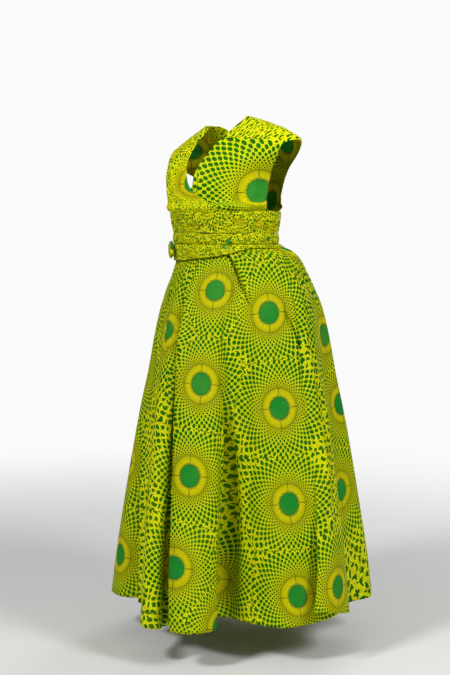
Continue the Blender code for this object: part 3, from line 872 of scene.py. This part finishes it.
def print_dots(n, spot, radius, angle, loose):
    """The dots and the ground between them: a lattice of rings that grow by an even factor and of even
    steps round, every second ring half a step on, whose dots stand further off their places and lose
    more of themselves the looser the order is. A light net follows the dots' edges."""
    sway = n.add("ShaderNodeTexNoise", {"Vector": spot, "Scale": 60.0, "Detail": 1.0}).outputs[1]
    sway = n.add("ShaderNodeSeparateXYZ", {0: sway}).outputs
    strength = n.maths("MULTIPLY_ADD", loose, 1.1, 0.20)
    off_around, off_out = (n.maths("MULTIPLY", n.maths("SUBTRACT", sway[k], 0.5), strength) for k in (0, 1))
    around = n.maths("ADD", n.maths("MULTIPLY", angle, DOTS_ROUND / (2 * math.pi)), off_around)
    growth = n.maths("LOGARITHM", n.maths("DIVIDE", radius, FIRST_DOTS), math.e)
    ring_at = n.maths("ADD", n.maths("DIVIDE", growth, 2 * RING_STEP), off_out)

    def from_dot(shift):
        """Distance to the nearest dot of one of the two sets of rings, in steps of the lattice."""
        across, out = (n.maths("SUBTRACT", n.maths("FRACT", n.maths("ADD", value, shift)), 0.5)
                       for value in (around, ring_at))
        out = n.maths("MULTIPLY", out, DOT_STRETCH)
        squares = (n.maths("MULTIPLY", value, value) for value in (across, out))
        return n.maths("SQRT", n.maths("ADD", *squares))

    close = n.maths("MINIMUM", from_dot(0.0), from_dot(0.5))
    cut = n.maths("MULTIPLY_ADD", n.noise(spot, 260.0, 1.0), 0.10, -0.05)
    size = n.maths("ADD", n.smooth(radius, FIRST_DOTS, LAST_DOTS, *DOT_SIZES), cut)
    bare = n.maths("MULTIPLY", n.smooth(n.noise(spot, 60.0), 0.60, 0.68), loose)
    size = n.maths("SUBTRACT", size, n.maths("MULTIPLY_ADD", bare, 0.13, n.maths("MULTIPLY", loose, 0.06)))
    dots = n.smooth(n.maths("SUBTRACT", size, close), -0.045, 0.045)
    net = n.smooth(n.maths("SUBTRACT", close, size), 0.15, 0.07)

    ground_far = n.mix(loose, ink("ground"), ink("ground_loose"))
    ground = n.mix(n.smooth(radius, 0.055, 0.100), ink("ground_near"), ground_far)
    net_far = n.mix(loose, ink("net"), ink("net_loose"))
    ground = n.mix(net, ground, n.mix(n.smooth(radius, 0.055, 0.085), ink("net_near"), net_far))
    ground = n.mix(bare, ground, ink("bare"))
    amber = n.maths("MULTIPLY", n.smooth(n.noise(spot, 150.0, 1.0), 0.60, 0.64), loose)
    ground = n.mix(n.maths("MULTIPLY", amber, 0.8), ground, ink("amber"))
    return n.mix(dots, ground, n.mix(n.smooth(radius, 0.060, 0.095), ink("dot_near"), ink("dot")))


def tick_track(n, field, spot, border, angle):
    """The track where two rosettes meet: a broken line with rungs across it, in stretches that come
    and go."""
    tick = n.repeat(angle, TICKS_A_RADIAN)
    line = n.maths("MULTIPLY", n.smooth(border, 0.0012, 0.0006), n.smooth(tick, 0.36, 0.30))
    rung = n.maths("MULTIPLY", n.smooth(border, 0.0046, 0.0040), n.smooth(tick, 0.07, 0.04))
    stretches = n.smooth(n.noise(spot, 24.0, 0.0), 0.44, 0.50)
    return n.mix(n.maths("MULTIPLY", n.maths("MAXIMUM", line, rung), stretches), field, ink("track"))


def yellow_ring(n, field, radius, angle, xyz):
    """The plain yellow ring over the field of dots, with fine hatching in its outer part, two thin lines
    round it and a cross of four lines."""
    outer = n.smooth(radius, *HATCHED)
    plain = n.mix(outer, ink("ring_inner"), ink("ring_outer"))
    hatch = n.smooth(n.repeat(angle, HATCHES_ROUND / (2 * math.pi)), 0.16, 0.08)
    plain = n.mix(n.maths("MULTIPLY", hatch, n.smooth(radius, *HATCHED, 0.10, 0.45)), plain, ink("hatching"))
    field = n.mix(n.smooth(radius, YELLOW_RING, YELLOW_RING + 0.0008), plain, field)
    lines = n.smooth(n.apart(n.apart(radius, RING_LINES), LINES_APART), 0.0007, 0.0003, 0.0, 0.85)
    field = n.mix(lines, field, ink("ring_line"))
    aside = n.maths("MINIMUM", *(n.maths("ABSOLUTE", xyz[k]) for k in (0, 1)))
    begun = n.smooth(radius, CROSS_FROM - 0.0005, CROSS_FROM + 0.0005)
    crossed = n.maths("MULTIPLY", n.smooth(aside, 0.0012, 0.0007), begun)
    ended = n.smooth(radius, CROSS_TO + 0.0005, CROSS_TO - 0.0005)
    return n.mix(n.maths("MULTIPLY", crossed, ended), field, ink("cross"))


def green_disc(n, field, radius, angle, spot, place):
    """The green disc over the ring, with short spikes of uneven length round its edge."""
    spikes = n.maths("MULTIPLY", n.repeat(angle, SPIKES_ROUND / (2 * math.pi)), 2.0)
    edge = n.maths("MULTIPLY_ADD", n.maths("MULTIPLY", spikes, n.noise(spot, 300.0, 0.0)), SPIKE, DISC)
    disc = n.mix(n.noise(place, 90.0, 3.0), ink("disc_dark"), ink("disc_light"))
    disc = n.mix(n.smooth(radius, DISC - 0.001, DISC), disc, ink("disc_edge"))
    return n.mix(n.smooth(n.maths("SUBTRACT", edge, radius), -0.0003, 0.0003), field, disc)


def wax_print_group():
    """Node group of the print: a green disc with a spiky edge, a plain yellow ring with a cross on it,
    and rings of dots that grow outwards in a staggered order with a light net between them. Towards the
    next rosette the order loosens into strokes, bare and amber flecks, and a track of ticks marks where
    two rosettes meet. Loosened adds to the disorder. It puts out the colour."""
    tree = bpy.data.node_groups.new("wax_print", "ShaderNodeTree")
    for label in ("Nearest", "Next", "Place"):
        tree.interface.new_socket(label, in_out="INPUT", socket_type="NodeSocketVector")
    tree.interface.new_socket("Loosened", in_out="INPUT", socket_type="NodeSocketFloat")
    tree.interface.new_socket("Color", in_out="OUTPUT", socket_type="NodeSocketColor")
    n = Nodes(tree)
    nearest, following, place, loosened = n.add("NodeGroupInput").outputs[:4]
    reach, next_reach = (n.add("ShaderNodeVectorMath", {0: way}, operation="LENGTH").outputs["Value"]
                         for way in (nearest, following))
    chosen = n.add("ShaderNodeMix", {0: n.maths("LESS_THAN", reach, next_reach), 4: following, 5: nearest},
                   data_type="VECTOR")
    spot = chosen.outputs[1]
    radius = n.maths("MINIMUM", reach, next_reach)
    border = n.maths("MULTIPLY", n.apart(reach, next_reach), 0.5)
    xyz = n.add("ShaderNodeSeparateXYZ", {0: spot}).outputs
    angle = n.maths("ARCTAN2", xyz[1], xyz[0])
    loose = n.maths("ADD", n.smooth(radius, LOOSE_FROM, LOOSE_TO), loosened, clamp=True)
    loose = n.maths("MAXIMUM", loose, n.smooth(border, 0.010, 0.002, 0.0, 0.6))
    field = print_dots(n, spot, radius, angle, loose)
    field = tick_track(n, field, spot, border, angle)
    field = yellow_ring(n, field, radius, angle, xyz)
    n.add("NodeGroupOutput", {0: green_disc(n, field, radius, angle, spot, place)})


def weave_group():
    """Node group of the plain weave: two sets of threads that pass over and under each other, and the
    small slubs in them. It puts out a height, 0 to 1."""
    tree = bpy.data.node_groups.new("plain_weave", "ShaderNodeTree")
    tree.interface.new_socket("Place", in_out="INPUT", socket_type="NodeSocketVector")
    tree.interface.new_socket("Height", in_out="OUTPUT", socket_type="NodeSocketFloat")
    n = Nodes(tree)
    place = n.add("NodeGroupInput").outputs[0]
    xyz = n.add("ShaderNodeSeparateXYZ", {0: place}).outputs
    threads = (n.maths("SINE", n.maths("MULTIPLY", xyz[k], math.pi / THREAD)) for k in (0, 1))
    slubs = n.maths("MULTIPLY", n.noise(place, 900.0, 1.0), 0.6)
    n.add("NodeGroupOutput", {0: n.maths("MULTIPLY_ADD", n.maths("MULTIPLY", *threads), 0.5, slubs)})


def printed_cotton(name, painted_light=1.0, folds=0.0):
    """Crisp printed cotton: the print, a faint fading in large clouds, and the weave's relief. painted_light
    is how much lighter than the skirt's the cloth is painted, standing in for more light falling on it. folds
    is how strongly painted shade and painted highlights of the smallest folds, three times as wide as they
    are high, darken and lighten the print; the cloth's shape has no such folds."""
    material = bpy.data.materials.new(name)
    material.use_nodes = True
    tree = material.node_tree
    shader = tree.nodes["Principled BSDF"]
    n = Nodes(tree)
    maps = [n.add("ShaderNodeUVMap", uv_map=label).outputs[0] for label in ("rosette", "rosette_next")]
    place = n.add("ShaderNodeTexCoord").outputs["Object"]
    order = n.add("ShaderNodeAttribute", attribute_name="loosened", attribute_type="GEOMETRY").outputs["Fac"]
    wax = n.add("ShaderNodeGroup", node_tree=bpy.data.node_groups["wax_print"])
    for value, socket in zip((*maps, place, order), wax.inputs):
        tree.links.new(value, socket)
    cloud = n.noise(place, 9.0, 3.0)
    colour = n.mix(n.smooth(cloud, 0.35, 0.75, 0.0, 0.06), wax.outputs[0], ink("faded"))
    # Painted shade in the valleys and painted highlights on the crests of small folds that the cloth's shape
    # doesn't have.
    if folds:
        flat = n.add("ShaderNodeVectorMath", {0: place, 1: (1.0, 1.0, 3.0)}, operation="MULTIPLY").outputs[0]
        fine = n.noise(flat, 70.0)
        colour = n.mix(n.smooth(fine, 0.34, 0.50, folds, 0.0), colour, ink("painted_fold_shade"))
        colour = n.mix(n.smooth(fine, 0.54, 0.66, 0.0, folds), colour, ink("painted_fold_highlight"))
    # Painted light: the whole cloth is made lighter by this factor, for more light falling on it.
    colour = n.mix(1.0, colour, (painted_light, painted_light, painted_light, 1.0), "MULTIPLY")
    tree.links.new(colour, shader.inputs["Base Color"])
    tree.links.new(n.smooth(cloud, 0.3, 0.7, 0.62, 0.74), shader.inputs["Roughness"])
    weave = n.add("ShaderNodeGroup", node_tree=bpy.data.node_groups["plain_weave"])
    tree.links.new(maps[0], weave.inputs[0])
    bump = n.add("ShaderNodeBump", {"Strength": 0.25, "Distance": 0.0002, "Height": weave.outputs[0]})
    tree.links.new(bump.outputs[0], shader.inputs["Normal"])
    shader.inputs["Specular IOR Level"].default_value = 0.06
    return material


def skirt_rosettes(across, down, level):
    """Middles of the skirt's rosettes in the cloth's coordinates: those of the table, and the hidden
    columns' at an even pitch. One above the seam or below the hem goes on at the cloth's own scale."""
    column, drop = (list(values) for values in table(SKIRT_ROSETTES).values())
    for k, at in enumerate(HIDDEN_COLUMNS):
        for step in HIDDEN_ROWS:
            column.append(at)
            drop.append(HIDDEN_FIRST + HIDDEN_STEP * (step + 0.5 * (k % 2)))
    column, drop = np.array(column), np.array(drop)
    place_x = np.array([np.interp(column, np.arange(SKIRT_COLUMNS + 1), row) for row in across])
    lengths = down[:, column.astype(int) % SKIRT_COLUMNS]
    place_y = np.array([np.interp(at, level, own) for at, own in zip(drop, lengths.T)])
    place_y += (lengths[-1] - lengths[0]) * (np.minimum(drop, 0) + np.maximum(drop - 1, 0))
    return place_x, place_y


def skirt_panels(material):
    """The skirt's front and back panels, cut from one grid at the side seams, each with its node."""
    cloth, base, level = skirt_cloth()
    across, down = row_lengths(base, True) / CLOTH_TAKEN, column_lengths(base)
    down = np.concatenate([down, down[:, :1]], axis=1)
    maps = nearest_rosettes(across, down, *skirt_rosettes(across, down, level), across[:, -1])
    right, left = SEAM_COLUMNS
    panels = []
    for node, columns in (("skirt_front", np.arange(right, left + 1)),
                          ("skirt_back", np.arange(left, right + SKIRT_COLUMNS + 1))):
        own = cloth[:, columns % SKIRT_COLUMNS].copy()
        for edge, inward in ((0, 1), (-1, -2)):
            way = own[:, inward] - own[:, edge]
            own[:, edge] += way / np.linalg.norm(way, axis=-1, keepdims=True) * SEAM_GAP / 2
        own_maps = [values[:, columns[:-1] % SKIRT_COLUMNS] for values in maps]
        panels.append((cloth_piece(node + "_cloth", own, own_maps, material, loosened=SKIRT_ORDER), node))
    return panels


def strap_table_rows(strap):
    """A strap's rows from the front waist over the shoulder to the back waist, which mirrors the front
    but leaves a wider armhole, read evenly along the strap."""
    front = np.stack([strap[k] for k in ("neck_angle", "neck_z", "arm_angle", "arm_z")], axis=-1)
    back = front[-2::-1] * (-1, 1, -1, 1) + (180, 0, 180, 0)
    back[:, 2] += BACK_ARMHOLE * ease(-back[:, 3], 0.10, 0.16)
    rows = np.concatenate([front, back])
    middle = figure(np.radians(rows[:, 0] + rows[:, 2]) / 2, (rows[:, 1] + rows[:, 3]) / 2, 0.0 * rows[:, 0])
    place = np.concatenate([[0.0], np.cumsum(np.linalg.norm(np.diff(middle, axis=0), axis=1))])
    at = np.linspace(0, place[-1], STRAP_ROWS)
    return np.stack([follow(place, rows[:, k], at) for k in range(4)], axis=-1)


def strap_relief(angle, z, side, from_edge, along, across, folds):
    """How far a strap's cloth stands out from its layer: a doubled hem with a stitched groove along both
    edges, a swell and tucks above the sash, and soft folds that run along the strap."""
    stitches = np.exp(-((from_edge - STRAP_HEM - 0.0005) / STITCH_SPREAD) ** 2)
    out = HEM_RISE * (1 - ease(from_edge, STRAP_HEM - 0.0015, STRAP_HEM)) - STITCH_DEPTH * stitches
    turn = (angle / 360.0) % 1.0
    swell = 1 + 0.35 * uneven(turn, 61 + side, (5, 9, 14))
    out = out + SWELL * np.exp(-((z - SWELL_Z) / SWELL_SPREAD) ** 2) * swell
    tucks = pleats(turn + TUCK_LEAN * (z + 0.24) * side, TUCKS_ROUND, 64 + side, 0.9) - 0.4
    out = out + TUCK_DEPTH * tucks * ease(-z, *TUCKS_GROW) * (1 - ease(-z, *TUCKS_END))
    for centre, spread, height, start, end, drift in rows_of(folds):
        reach = ease(along, start, start + FOLD_ENDS) * (1 - ease(along, end - FOLD_ENDS, end))
        off = (across[None, :] - centre - drift * (along - start)) / spread
        out = out + height * reach * np.exp(-off ** 2)
    return out


def strap_cloth(name, strap, side, layers, folds, rosettes, drawn, loosened, material):
    """One strap on the worn form: straight lines across it in angle and height, and its relief on them.
    side is 1 for the left strap and -1 for the right one. drawn is how much the tucks draw the print
    together at the waist, the height where that begins, and the print's scale above it. loosened is the
    disorder of the print's dots at the strap's ends and over the shoulder."""
    rows = strap_table_rows(table(strap))
    across = np.linspace(0.0, 1.0, STRAP_COLUMNS)
    along = np.linspace(0.0, 1.0, STRAP_ROWS)[:, None]
    angle = rows[:, :1] + (rows[:, 2:3] - rows[:, :1]) * across
    z = rows[:, 1:2] + (rows[:, 3:4] - rows[:, 1:2]) * across
    out = layers * LAYER + 0 * z
    plain = figure(np.radians(angle) * side, z, out)
    width = row_lengths(plain, False)
    from_edge = np.minimum(width, width[:, -1:] - width)
    out = out + strap_relief(angle, z, side, from_edge, along, across, folds)
    points = figure(np.radians(angle) * side, z, out)
    more, begins_z, scale = drawn
    tight = scale + more * ease(-z, -begins_z, -DRAWN_FULL_Z)
    at_ends, over_shoulder = loosened
    shoulder = ease(along, *SHOULDER_FROM) * (1 - ease(along, *SHOULDER_TO))
    disorder = at_ends + (over_shoulder - at_ends) * shoulder
    rosettes = rows_of(rosettes)
    if side > 0:
        points, plain, tight, disorder = (values[::-1] for values in (points, plain, tight, disorder))
        rosettes = [(1 - row, *rest) for row, *rest in rosettes]
    tight = np.stack([tight[corner] for corner in CORNERS], axis=-1)[..., None]
    maps = [values * tight for values in rosettes_on(plain, rosettes)]
    return cloth_piece(name, points, maps, material, loosened=disorder)


def wound_stretch(name, middle, count, seed, depth, rosettes, material):
    """One stretch of the wound sash: a closed band of cloth with fine uneven gathers across it, less of
    them at its edges, and small kneaded folds. Round it go its own rosettes, and others at an even pitch
    whose middles lie above and below it in the cloth that is turned in. The gathers draw the print
    together."""
    rows = len(middle)
    part = np.linspace(0.0, 1.0, rows)[:, None]
    around = np.arange(RING_COLUMNS)[None, :] / RING_COLUMNS
    sway = 0.0016 * np.sin(2 * np.pi * (3 * around + 1.3 * part)) + 0.0012 * (part - 0.5)
    fine = pleats(around + sway, count, seed, 0.8)
    broad = pleats(around - sway * 2, count // 3, seed + 5, 0.9)
    keep = 0.35 + 0.65 * np.sin(np.pi * np.clip(part, 0.02, 0.98)) ** 0.5
    out = depth * keep * (0.62 * fine + 0.38 * broad - 0.5)
    folded = np.sin(2 * np.pi * (2.3 * part + uneven(around, seed + 11, (4, 9, 15))))
    out = out + KNEADED * depth * keep * uneven(around + 0.11 * part, seed + 9, (31, 43, 59)) * folded
    points = middle + grid_normals(middle, True) * out[..., None]
    x, y = row_lengths(middle, True) / PRINT_TAKEN[0], column_lengths(middle) / PRINT_TAKEN[1]
    y = np.concatenate([y, y[:, :1]], axis=1)
    turned_in = (-TURNED_IN, np.ptp(middle[:, 0, 2]) + TURNED_IN)
    others = [(360.0 / OTHERS_ROUND * (k + 0.3 * (seed % 3)), turned_in[k % 2], 0.0, 1.0)
              for k in range(OTHERS_ROUND)]
    angle, down, lost, kept = np.array([*rows_of(rosettes), *others]).T
    place_x = np.array([np.interp(angle % 360, np.linspace(0, 360, RING_COLUMNS + 1), row) for row in x])
    maps = nearest_rosettes(x, y, place_x, down / PRINT_TAKEN[1], x[:, -1], (lost, kept))
    return cloth_piece(name, points, maps, material, closed=True, loosened=WOUND_DISORDER)


def form_band(top, bottom, layers, bulge, rows):
    """Middle of a band of cloth round the worn form. layers gives its place at its two edges, and bulge
    how much fuller it is between them. The upper edge of one that bulges wanders up and down."""
    angle = np.radians(np.arange(RING_COLUMNS) * 360.0 / RING_COLUMNS)[None, :]
    part = np.linspace(0.0, 1.0, rows)[:, None]
    wander = EDGE_WANDER * uneven(angle / (2 * np.pi), 77, (3, 5, 9)) * (bulge > 0)
    z = top + part * (bottom - top) + (1 - part) * wander
    out = (layers[0] + (layers[1] - layers[0]) * part) * LAYER + bulge * np.sin(np.pi * part) + 0 * angle
    return figure(angle + 0 * z, z, out)


def level_crease(points, z, start, end, depth):
    """Presses a thin level crease into a band between two angles in degrees; it wanders a little."""
    angle = np.degrees(np.arctan2(points[..., 0], -points[..., 1]))
    reach = ease(angle, start, start + CREASE_ENDS) * (1 - ease(angle, end - CREASE_ENDS, end))
    off = (points[..., 2] - z - CREASE_WANDER * np.sin(np.radians(angle) * 7)) / CREASE_SPREAD
    return points - grid_normals(points, True) * (depth * reach * np.exp(-off ** 2))[..., None]


def lower_band(rows):
    """Middle of the sash's lowest stretch, over the top of the skirt, clear of the gathers' tops: the
    skirt's ring, moved out level, a little more towards the lower edge and in between."""
    top = SASH_LOWER_Z - 0.0012
    angle = np.arange(RING_COLUMNS) * 360.0 / RING_COLUMNS
    bottom = follow(lower_edge["angle"], lower_edge["z"], (angle + 180) % 360 - 180)
    part = np.linspace(0.0, 1.0, rows)[:, None]
    z = top + part * (bottom - top)
    middle = shifted(ring(skirt, np.radians(angle)[None, :] + 0 * z, z), z)
    out = GATHER_DEPTH + LAYER + 0.0022 + 0.0018 * part + 0.0015 * np.sin(np.pi * part) + 0 * z
    level_way = grid_normals(middle, True) * (1, 1, 0)
    return middle + level_way / np.linalg.norm(level_way, axis=-1, keepdims=True) * out[..., None]


def sash_knot(material):
    """The knot: a flattened ball drawn in across its middle, with folds that run into the waist of it,
    and a green disc of the print on it."""
    low, high = (np.array(corner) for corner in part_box("sash_knot"))
    centre, tall = (low + high) / 2, (high[2] - low[2]) / 2
    turn = np.linspace(0, 2 * np.pi, 96, endpoint=False)[None, :]
    tip = np.linspace(0.02, np.pi - 0.02, 56)[:, None]
    size = 0.88 + 0.10 * np.cos(2 * turn) * np.sin(tip) + 0.05 * np.cos(3 * tip + turn)
    for height, folds_round, lean in ((0.05, 9, 3), (0.03, 17, -2)):
        size = size + height * np.sin(folds_round * turn + lean * tip) * np.sin(tip)
    size = size * (1 - 0.16 * np.exp(-((tip - np.pi / 2) / 0.28) ** 2) * (0.6 + 0.4 * np.cos(turn)))
    angle = np.radians(KNOT_ANGLE)
    outward = np.array([np.sin(angle), -np.cos(angle), 0.0])
    beside = np.array([np.cos(angle), np.sin(angle), 0.0])
    points = (centre + KNOT_WIDE * (size * np.sin(tip) * np.cos(turn))[..., None] * beside
              + KNOT_DEPTH * (size * np.sin(tip) * np.sin(turn))[..., None] * -outward
              + tall * (size * np.cos(tip) + 0 * turn)[..., None] * np.array([0, 0, 1.0]))
    once_round = 2 * np.pi * KNOT_PRINT[0]
    x = turn * KNOT_PRINT[0] + 0 * tip
    x = np.concatenate([x, x[:, :1] + once_round], axis=1)
    y = tip * KNOT_PRINT[1] + 0 * x
    across, down = np.array(KNOT_ROSETTES).T
    maps = nearest_rosettes(x, y, np.zeros((len(x), 2)) + across, down, np.full(len(x), once_round))
    return cloth_piece("sash_knot_cloth", points, maps, material, closed=True)


def put_on(piece, node):
    """Ties a finished piece to the CAD: it rides on the dress and stands for its node."""
    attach(piece, "root")
    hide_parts(node)
    return piece


def pale_floor():
    """Round pale floor, flat rings of quads and a middle face, that fades away towards its rim."""
    turn = np.linspace(0, 2 * np.pi, 96, endpoint=False)[None, :]
    reach = np.linspace(0.02, FLOOR_REACH, 24)[:, None]
    disc = np.stack([reach * np.cos(turn), reach * np.sin(turn), FLOOR_Z + 0 * reach * turn], axis=-1)
    mesh = bpy.data.meshes.new("floor")
    quads = grid_quads(*disc.shape[:2], True)
    mesh.from_pydata(disc.reshape(-1, 3).tolist(), [], quads.tolist() + [list(range(turn.size))])
    floor = bpy.data.objects.new("floor", mesh)
    bpy.context.scene.collection.objects.link(floor)
    material = bpy.data.materials.new("pale_floor")
    material.use_nodes = True
    tree = material.node_tree
    shader = tree.nodes["Principled BSDF"]
    n = Nodes(tree)
    place = n.add("ShaderNodeTexCoord").outputs["Object"]
    flat = n.add("ShaderNodeVectorMath", {0: place, 1: (1.0, 1.0, 0.0)}, operation="MULTIPLY").outputs[0]
    away = n.add("ShaderNodeVectorMath", {0: flat}, operation="LENGTH").outputs["Value"]
    tree.links.new(n.smooth(away, *FLOOR_FADES, 1.0, 0.0), shader.inputs["Alpha"])
    shader.inputs["Base Color"].default_value = (0.86, 0.86, 0.86, 1.0)
    shader.inputs["Roughness"].default_value = 0.8
    mesh.materials.append(material)


def white_room():
    """White surroundings, which the camera sees brighter than they light the dress."""
    world = bpy.data.worlds.new("white_room")
    bpy.context.scene.world = world
    world.use_nodes = True
    tree = world.node_tree
    n = Nodes(tree)
    seen = tree.nodes["Background"]
    seen.inputs[0].default_value = (1.0, 1.0, 1.0, 1.0)
    seen.inputs[1].default_value = ROOM_SEEN
    around = n.add("ShaderNodeBackground", {0: (1.0, 1.0, 1.0, 1.0), 1: ROOM_LIGHT})
    path = n.add("ShaderNodeLightPath").outputs["Is Camera Ray"]
    both = n.add("ShaderNodeMixShader", {0: path, 1: around.outputs[0], 2: seen.outputs[0]})
    tree.links.new(both.outputs[0], tree.nodes["World Output"].inputs[0])


def soft_lamps():
    """Round soft lamps that point at the dress: one from the camera's left, one nearly as strong from
    its right, and one behind the dress."""
    for name, place, size, power in LAMPS:
        lamp = bpy.data.lights.new(name, "AREA")
        lamp.shape, lamp.size, lamp.energy = "DISK", size, power
        light = bpy.data.objects.new(name, lamp)
        light.location = place
        aim_x, aim_y, aim_z = np.array(LAMP_AIM) - np.array(place)
        light.rotation_euler = (math.atan2(math.hypot(aim_x, aim_y), -aim_z), 0.0, math.atan2(-aim_x, aim_y))
        bpy.context.scene.collection.objects.link(light)


def photo_camera():
    """Camera at the photograph's place: level with the sash, turned 42 degrees round and pitched down."""
    lens = bpy.data.cameras.new("camera")
    lens.sensor_fit = "VERTICAL"
    lens.sensor_height = SENSOR
    lens.lens = FOCAL_PIXELS / PHOTO_HEIGHT * SENSOR
    camera = bpy.data.objects.new("camera", lens)
    camera.location = (PHOTO_DISTANCE * math.sin(PHOTO_AZIMUTH), -PHOTO_DISTANCE * math.cos(PHOTO_AZIMUTH),
                       EYE_Z)
    camera.rotation_euler = (math.pi / 2 - PHOTO_PITCH, 0.0, PHOTO_AZIMUTH)
    bpy.context.scene.collection.objects.link(camera)
    bpy.context.scene.camera = camera


wax_print_group()
weave_group()
skirt_cotton = printed_cotton("wax_print_cotton")
# The straps' cloth is painted lighter, for the brighter light on the bodice.
strap_cotton_painted_lighter = printed_cotton("strap_cotton_painted_lighter", STRAP_PAINTED_LIGHT)
# The sash's cloth carries painted shade and painted highlights of its smallest folds.
sash_cotton = printed_cotton("wound_cotton", folds=SASH_PAINTED_FOLDS)

photo_camera()
pale_floor()
white_room()
soft_lamps()
bpy.context.scene.view_settings.view_transform = "Standard"

for piece, node in skirt_panels(skirt_cotton):
    put_on(piece, node)

band = form_band(SASH_TOP_Z - 0.006, BAND_BOTTOM_Z, (-0.8, 0.1), 0.0, 12)
band = wound_stretch("waistband_cloth", band, 60, 31, 0.0, WAIST_ROSETTES, sash_cotton)
put_on(band, "waistband")

strap_left = strap_cloth("strap_left_cloth", STRAP_LEFT, 1, 0.9, LEFT_FOLDS, LEFT_ROSETTES,
                         (0.4, -0.226, 0.91), (-1.0, 1.0), strap_cotton_painted_lighter)
put_on(strap_left, "strap_left")
strap_right = strap_cloth("strap_right_cloth", STRAP_RIGHT, -1, 2.6, RIGHT_FOLDS, RIGHT_ROSETTES,
                          (1.2, -0.185, 1.0), (1.0, 1.0), strap_cotton_painted_lighter)
put_on(strap_right, "strap_right")

upper = form_band(SASH_TOP_Z, SASH_MIDDLE_Z, (3.6, 3.6), 0.003, 64)
for z, start, end, depth in rows_of(UPPER_CREASES):
    upper = level_crease(upper, z, start, end, depth)
upper = wound_stretch("sash_upper_cloth", upper, 118, 41, 0.0030, UPPER_ROSETTES, sash_cotton)
put_on(upper, "sash_upper")

middle = form_band(SASH_MIDDLE_Z - 0.0007, SASH_LOWER_Z, (3.6, 3.6), 0.002, 20)
middle = wound_stretch("sash_middle_cloth", middle, 126, 47, 0.0026, MIDDLE_ROSETTES, sash_cotton)
put_on(middle, "sash_middle")

lower = wound_stretch("sash_lower_cloth", lower_band(20), 122, 53, 0.0026, LOWER_ROSETTES, sash_cotton)
knot = sash_knot(sash_cotton)
put_on(knot, "sash_knot")
put_on(lower, "sash_lower")
